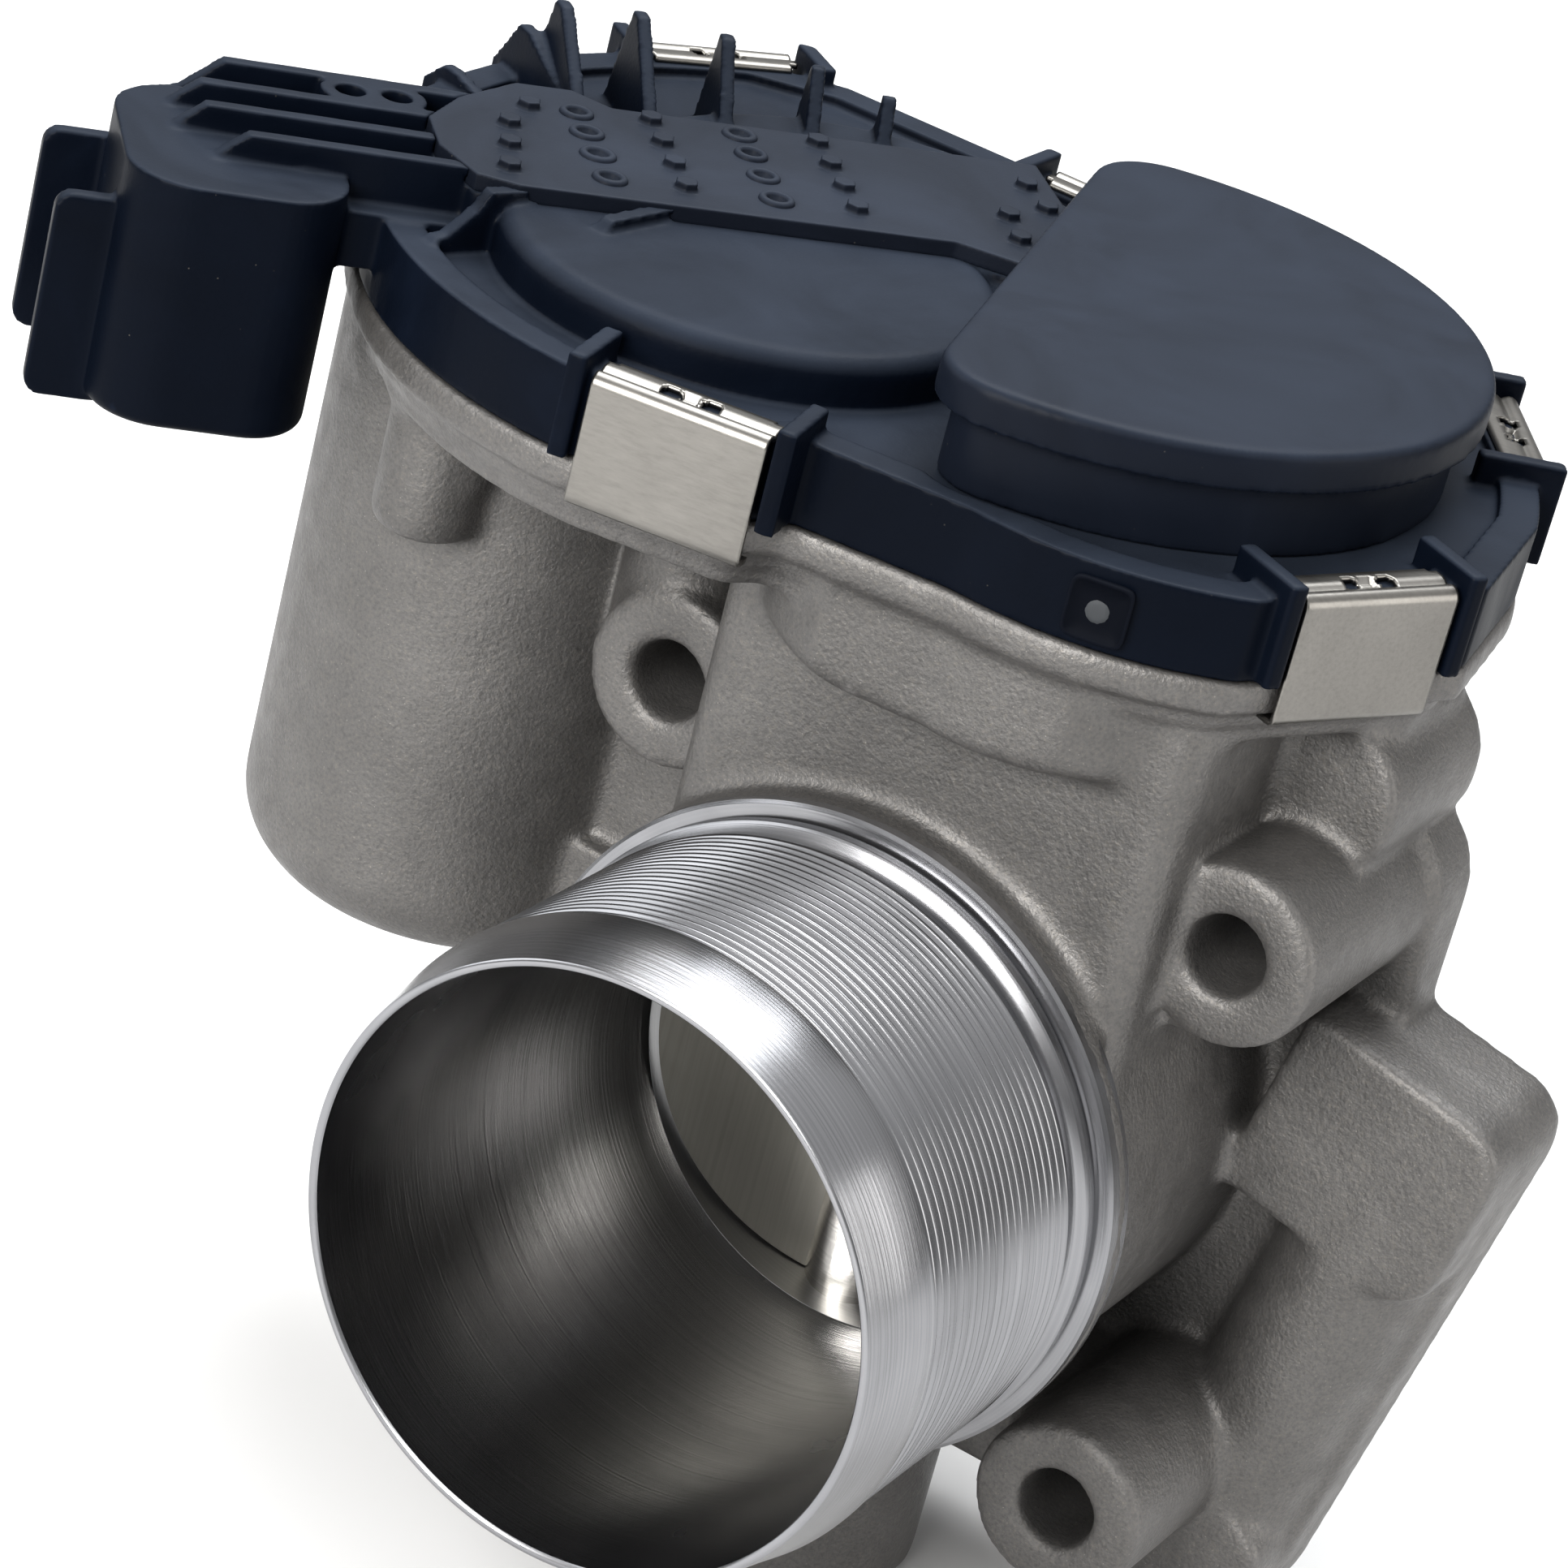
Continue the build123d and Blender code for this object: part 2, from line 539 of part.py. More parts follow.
def cover_clips():
    """Returns the spring clips that grip the casting's rim and the cover skirt."""
    clips = Part()
    wall = 0.55
    for x, y, turn in clip_places:
        profile = make_face(Polyline(
            (3.4, clip_top_z - wall), (3.4, clip_top_z), (-0.4, clip_top_z), (-1.2, clip_top_z - 0.8),
            (-1.2, clip_bottom_z), (1.3, clip_bottom_z), (1.3, clip_bottom_z + wall),
            (-1.2 + wall, clip_bottom_z + wall), (-1.2 + wall, clip_top_z - 1.0), (-0.2, clip_top_z - wall),
            close=True))
        strip = extrude(Plane.YZ * profile, amount=clip_width / 2, both=True)
        for side in (-1, 1):
            strip -= upright(side * 1.7, 1.6, clip_top_z - 3, clip_top_z + 3, 0.75)
        clips += Pos(x, y) * Rot(0, 0, turn) * strip
    return clips


# ---- throttle ---------------------------------------------------------------------------------
def plate_frame():
    """Returns the place of the throttle plate: on the shaft, turned to its resting angle."""
    return Pos(0, shaft_y, 0) * Rot(0, 0, plate_rest_angle)


def throttle_shaft():
    """Returns the steel shaft with its slot for the plate and the flats for the sector gear."""
    shaft = upright(0, shaft_y, -41.0, 56.0, shaft_radius)
    slot = plate_frame() * block((-10, -plate_thickness / 2 - 0.01, -bore_radius), (
        10, plate_thickness / 2 + 0.01, bore_radius))
    face = plate_frame() * block((-10, plate_thickness / 2, -14), (10, 10, 14))
    holes = Part()
    for z in plate_screw_heights:
        holes += plate_frame() * Pos(0, 0, z) * Rot(90, 0, 0) * Cylinder(1.5, 20)
    return only_solid(shaft - slot - face - holes)


plate_screw_heights = (-8.5, 8.5)


def throttle_plate():
    """Returns the round plate that closes the bore."""
    disc = Rot(90, 0, 0) * Cylinder(plate_radius, plate_thickness)
    for z in plate_screw_heights:
        disc -= Pos(0, 0, z) * Rot(90, 0, 0) * Cylinder(1.5, 20)
    return plate_frame() * disc


def plate_screws():
    """Returns the two screws that hold the plate in the shaft's slot."""
    screws = Part()
    for z in plate_screw_heights:
        shank = Pos(0, -1.0, z) * Rot(90, 0, 0) * Cylinder(1.48, 5.6)
        head = Pos(0, plate_thickness / 2 + 0.9, z) * Rot(90, 0, 0) * Cylinder(2.7, 1.8)
        cross = Pos(0, plate_thickness / 2 + 1.8, z) * (Box(2.8, 1.2, 0.6) + Box(0.6, 1.2, 2.8))
        screws += plate_frame() * (shank + head - cross)
    return screws


def bearing(bottom, top, outer):
    """Returns a bearing sleeve that the throttle shaft runs in."""
    return ring(0, shaft_y, bottom, top, outer, shaft_radius + running_gap)


def upper_bearing():
    """Returns the needle sleeve under the gear pocket."""
    return bearing(32.4, 42.0, bearing_radius)


def lower_bearing():
    """Returns the bearing in the lower boss."""
    return bearing(-40.0, -31.0, lower_bearing_radius)


def shaft_seal():
    """Returns the lip seal between the air path and the upper bearing."""
    return bearing(29.05, 32.2, bearing_radius)


def bearing_plug():
    """Returns the pressed plug that closes the lower boss."""
    cup = upright(0, shaft_y, lower_boss_end_z + 0.3, -44.0, lower_bearing_radius)
    return cup - upright(0, shaft_y, lower_boss_end_z, -45.0, lower_bearing_radius - 1.2)


# ---- gear train -------------------------------------------------------------------------------
def sector_gear():
    """Returns the plastic sector gear, with teeth only where the travel needs them."""
    teeth = slab(gear_outline(sector_teeth, final_module, idler_bearing), 46.4, 50.4)
    keep_from = idler_bearing - open_travel - 9
    keep_to = idler_bearing + closed_travel + 9
    wedge = [(0.0, 0.0)] + [
        (40 * math.cos(math.radians(a)), 40 * math.sin(math.radians(a)))
        for a in (keep_from + (keep_to - keep_from) * step / 6 for step in range(7))]
    toothed = teeth & slab(make_face(Polyline(wedge, close=True)), 46, 51)
    hub = upright(0, 0, 46.4, 50.4, 9.0) + upright(0, 0, 45.4, 46.5, 6.2) + upright(0, 0, 50.4, 57.6, 5.0)
    lightening = Part()
    for turn in (keep_from + 24, keep_from + 52, keep_from + 80):
        lightening += Rot(0, 0, turn) * upright(12.6, 0, 45, 52, 2.2)
    gear = toothed + hub - lightening - upright(0, 0, 40, 56.0, shaft_radius) - upright(0, 0, 57.0, 60, 4.2)
    return only_solid(Pos(0, shaft_y) * gear)


def sensor_magnet():
    """Returns the magnet disc in the top of the sector gear's hub."""
    return upright(0, shaft_y, 57.0, 58.6, 4.2)


def idler_gear():
    """Returns the two-step idler gear."""
    large = slab(gear_outline(idler_large_teeth, first_module, idler_to_motor_bearing), 51.3, 54.8)
    small_gap = idler_bearing + 180 + 180 / idler_small_teeth
    small = slab(gear_outline(idler_small_teeth, final_module, small_gap), 45.8, 51.4)
    lightening = Part()
    for index in range(6):
        lightening += Rot(0, 0, 60 * index) * upright(15.6, 0, 51, 55, 3.2)
    web_cut = ring(0, 0, 54.0, 55.5, 19.2, 6.5)
    gear = large + small + upright(0, 0, 51.3, 55.4, 5.0) - lightening - web_cut
    return only_solid(Pos(idler_x, idler_y) * (gear - upright(0, 0, 40, 60, 2.5 + running_gap)))


def idler_pin():
    """Returns the steel pin that the idler gear turns on."""
    pin = upright(idler_x, idler_y, pocket_under_z + 0.6, idler_pin_top_z, 2.5)
    return soften(pin, pin.edges().sort_by(Axis.Z)[-1:], 0.5)


def return_spring():
    """Returns the torsion spring around the bearing boss."""
    path = Pos(0, shaft_y, 42.9) * Helix(pitch=1.45, height=2.2, radius=9.3)
    wire = Plane(origin=path @ 0, z_dir=path % 0) * Circle(0.6)
    return sweep(wire, path=path)


def spring_bush():
    """Returns the plastic bush between the spring and the bearing boss."""
    return ring(0, shaft_y, pocket_floor_z, pocket_floor_z + 2.7, bearing_radius + 1.9, bearing_radius + 1.2)


# ---- motor ------------------------------------------------------------------------------------
motor_bottom_z = can_bottom_z + 3.4
motor_case_radius = 16.4
motor_case_top_z = 45.0
rotor_radius = 11.4
motor_shaft_radius = 1.6


motor_terminal_turn = 55.0


def motor_axis(shape):
    """Returns the shape moved onto the motor's axis."""
    return Pos(motor_x, motor_y) * shape


def motor_case():
    """Returns the drawn steel case of the motor."""
    case = upright(0, 0, motor_bottom_z, motor_case_top_z, motor_case_radius)
    case = soften(case, case.edges().sort_by(Axis.Z)[:1], 1.5)
    case -= upright(0, 0, motor_bottom_z + 1.0, 60, motor_case_radius - 1.0)
    case -= upright(0, 0, motor_bottom_z - 1, motor_bottom_z + 2, 3.0)
    return motor_axis(case)


def motor_magnets():
    """Returns the two field magnets inside the motor case."""
    arc = ring(0, 0, 4.0, 36.0, motor_case_radius - 1.0, rotor_radius + 0.7)
    gap = block((-3.0, -20, 0), (3.0, 20, 60))
    return motor_axis(arc - gap)


def armature_core():
    """Returns the laminated core of the armature with its winding slots."""
    core = upright(0, 0, 6.0, 34.0, rotor_radius)
    for index in range(10):
        core -= Rot(0, 0, 36 * index) * (block((7.0, -1.7, 5), (10.2, 1.7, 35)) + block((9, -0.5, 5), (13, 0.5, 35)))
    return motor_axis(core - upright(0, 0, 0, 60, motor_shaft_radius))


def armature_winding():
    """Returns the copper winding: coils in the slots and the end turns on both ends."""
    coils = Part()
    for bottom, top in ((2.6, 6.0), (34.0, 37.4)):
        coils += ring(0, 0, bottom, top, 10.6, 4.2)
    for index in range(10):
        coils += Rot(0, 0, 36 * index) * block((7.2, -1.4, 5.5), (9.9, 1.4, 34.5))
    return motor_axis(coils)


def commutator():
    """Returns the segmented commutator on the motor shaft."""
    drum = ring(0, 0, 37.9, 42.6, 4.4, motor_shaft_radius)
    for index in range(10):
        drum -= Rot(0, 0, 36 * index + 18) * block((3.9, -0.2, 37), (5, 0.2, 43))
    return motor_axis(drum)


def motor_shaft():
    """Returns the motor shaft from the lower bush to the pinion."""
    return motor_axis(upright(0, 0, motor_bottom_z + 1.6, 55.6, motor_shaft_radius))


def motor_bushes():
    """Returns the sintered bushes at both ends of the motor shaft."""
    lower = ring(0, 0, motor_bottom_z + 1.0, motor_bottom_z + 4.0, 3.6, motor_shaft_radius + running_gap)
    upper = ring(0, 0, 45.6, 50.4, 3.6, motor_shaft_radius + running_gap)
    return motor_axis(lower + upper)


def motor_end_cap():
    """Returns the plastic end cap that carries the brushes and the upper bush."""
    cap = upright(0, 0, 43.2, 47.4, motor_case_radius - 1.0) - upright(0, 0, 42, 45.6, 12.4)
    cap += upright(0, 0, 45.6, 49.2, 5.2)
    for side in (-1, 1):
        cap += block((side * 8.4 - 3.9, -3.4, 38.4), (side * 8.4 + 3.9, 3.4, 45.7)) & upright(0, 0, 38, 46, 12.8)
        cap -= block((side * 8.4 - 4.5, -2.0, 39.0), (side * 8.4 + 6, 2.0, 41.9))
    gear_room = upright(idler_x, idler_y, 45.4, 60, idler_small_pitch_radius + 1.5)
    return only_solid(motor_axis(cap - upright(0, 0, 42, 60, 3.6)) - gear_room)


def brushes():
    """Returns the two carbon brushes."""
    return motor_axis(block((4.55, -1.95, 39.1), (8.6, 1.95, 41.8)) + block((-8.6, -1.95, 39.1), (-4.55, 1.95, 41.8)))


def brush_springs():
    """Returns the two small compression springs behind the brushes."""
    springs = Part()
    for side in (0, 180):
        for turn in range(4):
            springs += Rot(0, 0, side) * Pos(9.2 + turn * 0.75, 0, 40.45) * Rot(0, 90, 0) * Torus(1.1, 0.22)
    return motor_axis(springs)


def motor_plate():
    """Returns the steel plate that holds the motor in its can."""
    plate = upright(0, 0, tray_floor_z, tray_floor_z + 1.4, motor_case_radius + 0.2)
    for turn in (100, 280):
        plate += Rot(0, 0, turn) * (block((0, -3.6, tray_floor_z), (19.6, 3.6, tray_floor_z + 1.4)) + upright(
            19.6, 0, tray_floor_z, tray_floor_z + 1.4, 3.6))
        plate -= Rot(0, 0, turn) * upright(19.6, 0, 40, 60, 1.95)
    plate -= Rot(0, 0, motor_terminal_turn) * block((-8, 11.6, 40), (8, 18, 60))
    gear_room = upright(idler_x, idler_y, 40, 60, idler_small_pitch_radius + 1.5)
    return motor_axis(plate - upright(0, 0, 40, 60, 5.3)) - gear_room


def motor_screws():
    """Returns the two screws that hold the motor plate to the casting."""
    screws = Part()
    for x, y in motor_screw_places():
        screws += upright(x, y, tray_floor_z - 6.5, tray_floor_z + 1.5, 1.9)
        head = upright(x, y, tray_floor_z + 1.4, tray_floor_z + 3.2, 3.2)
        socket = Pos(x, y, tray_floor_z + 2.6) * extrude(RegularPolygon(1.4, 6), amount=2)
        screws += head - socket
    return screws


def motor_pinion():
    """Returns the brass pinion on the motor shaft."""
    gap = idler_to_motor_bearing + 180 + 180 / pinion_teeth
    pinion = slab(gear_outline(pinion_teeth, first_module, gap), 50.9, 55.2)
    return motor_axis(pinion - upright(0, 0, 40, 60, motor_shaft_radius))


def wave_spring():
    """Returns the wave washer that presses the motor upwards in its can."""
    return motor_axis(ring(0, 0, can_bottom_z + 2.6, motor_bottom_z, 14.5, 11.5))


def motor_terminals_block(gap=0.0):
    """Returns the motor's two current blades, thicker by the gap where the cover is cut for them."""
    blades = Part()
    for side in (-1, 1):
        blades += block((side * 4.6 - 1.8 - gap, 13.0 - gap, 47.4), (side * 4.6 + 1.8 + gap, 13.8 + gap, 58.0))
    return motor_axis(Rot(0, 0, motor_terminal_turn) * blades)


# ---- electrics --------------------------------------------------------------------------------
def sensor_board():
    """Returns the circuit board under the sensor cap."""
    plan = offset(cap_outline(-1.8), amount=-2.9, kind=Kind.INTERSECTION)
    board = slab(plan, 64.2, 65.2)
    return only_solid(board - lead_pins(0.02))


def sensor_chip():
    """Returns the position sensor chip on the underside of the board."""
    return Pos(0, shaft_y, 63.3) * Box(6.4, 5.2, 1.8)


def lead_pins(gap=0.0):
    """Returns the four pins from the cover up to the sensor board, thicker by the gap where room is cut."""
    pins = Part()
    for across in (-4.5, -1.5, 1.5, 4.5):
        pins += Pos(cap_x, cap_y) * Rot(0, 0, cap_chord_turn) * Pos(0.5, across, 0) * block(
            (-0.35 - gap, -0.35 - gap, deck_top_z - 1.2), (0.35 + gap, 0.35 + gap, 65.8))
    return pins


def flange_seal():
    """Returns the ring seal in the engine face."""
    ring_seal = revolved_about_bore([(seal_groove_radius - 1.25, -2.35), (seal_groove_radius + 1.25, -2.35),
                                     (seal_groove_radius + 1.25, -0.1), (seal_groove_radius - 1.25, -0.1)])
    return ring_seal


makers = [
    housing, gear_cover, lead_strip, sensor_cap, cover_seal, cover_clips, throttle_shaft, throttle_plate,
    plate_screws, upper_bearing, lower_bearing, shaft_seal, bearing_plug, sector_gear, sensor_magnet, idler_gear,
    idler_pin, return_spring, spring_bush, motor_case, motor_magnets, armature_core, armature_winding, commutator,
    motor_shaft, motor_bushes, motor_end_cap, brushes, brush_springs, motor_plate, motor_screws, motor_pinion,
    wave_spring, motor_terminals_block, sensor_board, sensor_chip, lead_pins, flange_seal, connector_pin_block]
node_names = {"connector_pin_block": "connector_pins", "motor_terminals_block": "motor_terminals",
              "lead_pins": "sensor_pins"}

if __name__ == "__main__":
    os.makedirs("parts", exist_ok=True)
    for make in makers:
        node = node_names.get(make.__name__, make.__name__)
        shape = make()
        export_step(shape, f"parts/{node}.step")
        print(f"{node}: {len(shape.solids())} solids, {shape.volume:.0f} mm3")
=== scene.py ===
import logging
import math
import random
from dataclasses import dataclass, field
from enum import Enum
from typing import Callable, Optional, Sequence

import bmesh
import bpy
from mathutils import Matrix, Vector


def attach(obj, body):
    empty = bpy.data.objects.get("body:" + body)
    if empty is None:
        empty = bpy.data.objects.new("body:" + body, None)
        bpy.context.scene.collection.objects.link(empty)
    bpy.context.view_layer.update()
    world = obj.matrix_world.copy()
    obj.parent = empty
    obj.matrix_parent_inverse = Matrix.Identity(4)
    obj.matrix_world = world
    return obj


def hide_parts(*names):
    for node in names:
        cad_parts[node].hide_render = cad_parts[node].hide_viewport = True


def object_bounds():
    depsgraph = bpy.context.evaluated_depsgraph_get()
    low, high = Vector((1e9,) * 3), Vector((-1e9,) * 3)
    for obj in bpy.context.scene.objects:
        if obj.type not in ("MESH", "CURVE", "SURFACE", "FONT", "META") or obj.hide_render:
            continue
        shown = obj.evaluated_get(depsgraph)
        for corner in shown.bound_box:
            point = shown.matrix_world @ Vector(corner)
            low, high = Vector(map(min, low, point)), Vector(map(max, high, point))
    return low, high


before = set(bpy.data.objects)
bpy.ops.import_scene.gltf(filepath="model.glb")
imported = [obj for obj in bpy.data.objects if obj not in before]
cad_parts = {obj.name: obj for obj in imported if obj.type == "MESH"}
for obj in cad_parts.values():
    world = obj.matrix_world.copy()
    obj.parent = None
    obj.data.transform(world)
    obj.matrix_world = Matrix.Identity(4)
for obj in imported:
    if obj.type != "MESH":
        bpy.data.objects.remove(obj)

LOG = logging.getLogger("throttle_body")
CAD_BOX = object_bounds()
MM = 0.001
EASE_FACTOR = 0.5
SHARP_CORNER = 35.0
TURNED_CORNER = 28.0
LONG_SIDE = 0.7
Point = tuple[float, float, float]
Colour = tuple[float, float, float]
Stop = tuple[float, Colour]


# ---------------------------------------------------------------- choices
class Body(Enum):
    """The bodies of the mechanism that new pieces ride on."""

    BODY = "body"


class Lay(Enum):
    """Which way the marks of a brush or a tool run on a metal face."""

    AROUND_BORE = (3.0, 4200.0, 3.0)
    ALONG_X = (30.0, 2600.0, 2600.0)
    ALONG_Z = (2600.0, 2600.0, 30.0)
    AROUND_SHAFT = (3.0, 3.0, 4200.0)


class Slot(Enum):
    """Material slots of the record."""

    CASTING = "cast_aluminium"
    PLASTIC = "black_plastic"
    SPRING = "spring_steel"


# ---------------------------------------------------------------- shading bench
class NodeBench:
    """Lays out the nodes of one material, with the shader's own sockets set by name."""

    def __init__(self, name: str) -> None:
        """Starts a material with a single shader.

        Args:
            name: the material's name.
        """
        self.material: bpy.types.Material = bpy.data.materials.new(name)
        self.material.use_nodes = True
        self.tree = self.material.node_tree
        self.shader = self.tree.nodes["Principled BSDF"]
        self.place = self.tree.nodes.new("ShaderNodeTexCoord").outputs["Object"]

    def add(self, kind: str) -> bpy.types.Node:
        """Adds one node of the given kind.

        Args:
            kind: the node's type name.

        Returns:
            The node.
        """
        return self.tree.nodes.new(kind)

    def join(self, source: bpy.types.NodeSocket, target: bpy.types.NodeSocket) -> None:
        """Links two sockets.

        Args:
            source: the socket that gives the value.
            target: the socket that takes it.
        """
        self.tree.links.new(source, target)

    def stretched(self, scale: Point) -> bpy.types.NodeSocket:
        """Gives object coordinates scaled differently along each axis.

        Args:
            scale: the factor along x, y and z.

        Returns:
            The scaled coordinates.
        """
        mapping = self.add("ShaderNodeMapping")
        mapping.inputs["Scale"].default_value = scale
        self.join(self.place, mapping.inputs["Vector"])
        return mapping.outputs["Vector"]

    def noise(self, scale: float, detail: float = 2.0, rough: float = 0.5,
              coords: Optional[bpy.types.NodeSocket] = None, warp: float = 0.0) -> bpy.types.NodeSocket:
        """Adds a noise field.

        Args:
            scale: features per metre, or per unit of the given coordinates.
            detail: number of finer layers.
            rough: strength of the finer layers.
            coords: coordinates to use in place of the object's own.
            warp: distortion of the field.

        Returns:
            The noise value, from 0 to 1.
        """
        node = self.add("ShaderNodeTexNoise")
        node.inputs["Scale"].default_value = scale
        node.inputs["Detail"].default_value = detail
        node.inputs["Roughness"].default_value = rough
        node.inputs["Distortion"].default_value = warp
        self.join(coords or self.place, node.inputs["Vector"])
        return node.outputs["Fac"]

    def cells(self, scale: float) -> bpy.types.NodeSocket:
        """Gives the distance to the nearest of many scattered points, as for specks and grains.

        Args:
            scale: points per metre.

        Returns:
            The distance, in units of the points' spacing.
        """
        node = self.add("ShaderNodeTexVoronoi")
        node.inputs["Scale"].default_value = scale
        self.join(self.place, node.inputs["Vector"])
        return node.outputs["Distance"]

    def ramp(self, value: bpy.types.NodeSocket, stops: Sequence[Stop]) -> bpy.types.NodeSocket:
        """Turns a value into a colour through a few stops.

        Args:
            value: the value, from 0 to 1.
            stops: position and colour of each stop, in order.

        Returns:
            The colour.
        """
        node = self.add("ShaderNodeValToRGB")
        band = node.color_ramp
        while len(band.elements) < len(stops):
            band.elements.new(0.5)
        for element, (position, colour) in zip(band.elements, stops):
            element.position = position
            element.color = (*colour, 1.0)
        self.join(value, node.inputs["Fac"])
        return node.outputs["Color"]

    def blend(self, first: bpy.types.NodeSocket, second: bpy.types.NodeSocket, share: float = 0.5,
              mode: str = "MIX", by: Optional[bpy.types.NodeSocket] = None) -> bpy.types.NodeSocket:
        """Mixes two colours.

        Args:
            first: the colour underneath.
            second: the colour on top.
            share: how much of the second shows.
            mode: the mixing mode.
            by: a value that sets the share point by point.

        Returns:
            The mixed colour.
        """
        node = self.add("ShaderNodeMix")
        node.data_type = "RGBA"
        node.blend_type = mode
        node.inputs[0].default_value = share
        if by is not None:
            self.join(by, node.inputs[0])
        self.join(first, node.inputs[6])
        self.join(second, node.inputs[7])
        return node.outputs[2]

    def bump(self, height: bpy.types.NodeSocket, strength: float, depth: float,
             over: Optional[bpy.types.NodeSocket] = None) -> bpy.types.NodeSocket:
        """Adds relief.

        Args:
            height: the height field.
            strength: share of the relief that shows, from 0 to 1.
            depth: depth of the relief in metres.
            over: an earlier relief that this one lies on.

        Returns:
            The surface direction.
        """
        node = self.add("ShaderNodeBump")
        node.inputs["Strength"].default_value = strength
        node.inputs["Distance"].default_value = depth
        self.join(height, node.inputs["Height"])
        if over is not None:
            self.join(over, node.inputs["Normal"])
        return node.outputs["Normal"]

    def edges(self, low: float, high: float) -> bpy.types.NodeSocket:
        """Gives a value that is high on outer edges and low in hollows.

        Args:
            low: sharpness of a hollow, where the value is 0.
            high: sharpness of an edge, where the value is 1.

        Returns:
            The value, from 0 to 1.
        """
        geometry = self.add("ShaderNodeNewGeometry")
        limits = self.add("ShaderNodeMapRange")
        limits.inputs["From Min"].default_value = low
        limits.inputs["From Max"].default_value = high
        self.join(geometry.outputs["Pointiness"], limits.inputs["Value"])
        return limits.outputs["Result"]

    def upward(self, low: float, high: float) -> bpy.types.NodeSocket:
        """Gives a value that is 1 on faces that look up and 0 on sides and undersides.

        Args:
            low: upward part of the surface direction where the value is 0.
            high: upward part of the surface direction where the value is 1.

        Returns:
            The value, from 0 to 1.
        """
        split = self.add("ShaderNodeSeparateXYZ")
        self.join(self.add("ShaderNodeNewGeometry").outputs["Normal"], split.inputs["Vector"])
        limits = self.add("ShaderNodeMapRange")
        limits.inputs["From Min"].default_value = low
        limits.inputs["From Max"].default_value = high
        self.join(split.outputs["Z"], limits.inputs["Value"])
        return limits.outputs["Result"]

    def fix(self, **values: float) -> None:
        """Sets constant values straight on the shader's sockets, with _ standing for a space."""
        for name, value in values.items():
            self.shader.inputs[name.replace("_", " ")].default_value = value

    def feed(self, socket: str, source: bpy.types.NodeSocket) -> None:
        """Links a varying value to one of the shader's sockets.

        Args:
            socket: the name of the shader's socket.
            source: the socket that gives the value.
        """
        self.join(source, self.shader.inputs[socket])


def grey(level: float) -> Colour:
    """Gives an even grey.

    Args:
        level: how light it is, from 0 to 1.

    Returns:
        The grey as a colour.
    """
    return (level, level, level)


def tinted(colour: Colour, factor: float) -> Colour:
    """Gives a lighter or darker version of a colour.

    Args:
        colour: the colour to start from.
        factor: what each channel is multiplied by.

    Returns:
        The new colour, with no channel over 1.
    """
    return tuple(min(1.0, channel * factor) for channel in colour)


# ---------------------------------------------------------------- finishes
@dataclass(frozen=True)
class CastAluminium:
    """Die-cast aluminium with a fine shot-blasted grain."""

    name: str = "cast_aluminium"
    colour: Colour = (0.122, 0.118, 0.115)
    roughness: float = 0.5
    metal: float = 0.72
    grain: float = 3000.0
    sheen: float = 0.5

    def make(self) -> bpy.types.Material:
        """Builds the material: blotches, grain, bright flecks of painted glint and rubbed edges.

        Returns:
            The material.
        """
        bench = NodeBench(self.name)
        blotch = bench.ramp(bench.noise(70.0, 4.0, 0.6), [
            (0.3, tinted(self.colour, 0.82)), (0.55, self.colour), (0.75, tinted(self.colour, 1.16))])
        grain = bench.ramp(bench.noise(self.grain, 3.0, 0.65), [
            (0.3, grey(0.68)), (0.5, grey(0.97)), (0.66, (1.15, 1.12, 1.06)), (0.78, (1.7, 1.6, 1.42))])
        speckled = bench.blend(blotch, grain, 0.75, "MULTIPLY")
        # painted glints: warm bright specks added to the base colour stand in for light sparkling off the
        # grain
        glint_flecks = bench.ramp(bench.cells(1500.0), [(0.0, (1.0, 0.93, 0.8)), (0.1, grey(0.0))])
        glint_flecked = bench.blend(speckled, glint_flecks, 0.2, "ADD")
        worn = bench.blend(glint_flecked, bench.ramp(bench.noise(300.0), [
            (0.3, tinted(self.colour, 1.25)), (0.7, tinted(self.colour, 1.55))]),
            by=bench.edges(0.515, 0.62))
        bench.feed("Base Color", worn)
        bench.feed("Roughness", bench.ramp(bench.noise(420.0, 3.0), [
            (0.25, grey(self.roughness - 0.07)), (0.75, grey(self.roughness + 0.1))]))
        relief = bench.bump(bench.noise(self.grain * 0.75, 3.0, 0.6), 0.55, 0.00022)
        bench.feed("Normal", bench.bump(bench.noise(160.0, 2.0), 0.35, 0.0006, relief))
        bench.fix(Metallic=self.metal, Specular_IOR_Level=self.sheen)
        return bench.material


@dataclass(frozen=True)
class TooledMetal:
    """Bare metal with fine parallel tool or brush marks."""

    name: str = "turned_aluminium"
    colour: Colour = (0.27, 0.272, 0.284)
    roughness: float = 0.2
    lay: Lay = Lay.AROUND_BORE
    depth: float = 0.00004
    contrast: float = 0.28

    def make(self) -> bpy.types.Material:
        """Builds the material: tool marks in colour, gloss and relief, with faint smears.

        Returns:
            The material.
        """
        bench = NodeBench(self.name)
        marks = bench.noise(1.0, 4.0, 0.7, bench.stretched(self.lay.value))
        smears = bench.noise(55.0, 3.0, 0.55, warp=0.6)
        lines = bench.ramp(marks, [(0.3, tinted(self.colour, 1.0 - self.contrast)), (0.52, self.colour),
                                   (0.72, tinted(self.colour, 1.0 + self.contrast * 0.7))])
        stained = bench.ramp(smears, [(0.3, grey(0.8)), (0.6, grey(1.0))])
        bench.feed("Base Color", bench.blend(lines, stained, 0.8, "MULTIPLY"))
        bench.feed("Roughness", bench.ramp(smears, [
            (0.3, grey(self.roughness + 0.1)), (0.65, grey(self.roughness))]))
        bench.feed("Normal", bench.bump(marks, 0.5, self.depth))
        bench.fix(Metallic=1.0)
        return bench.material


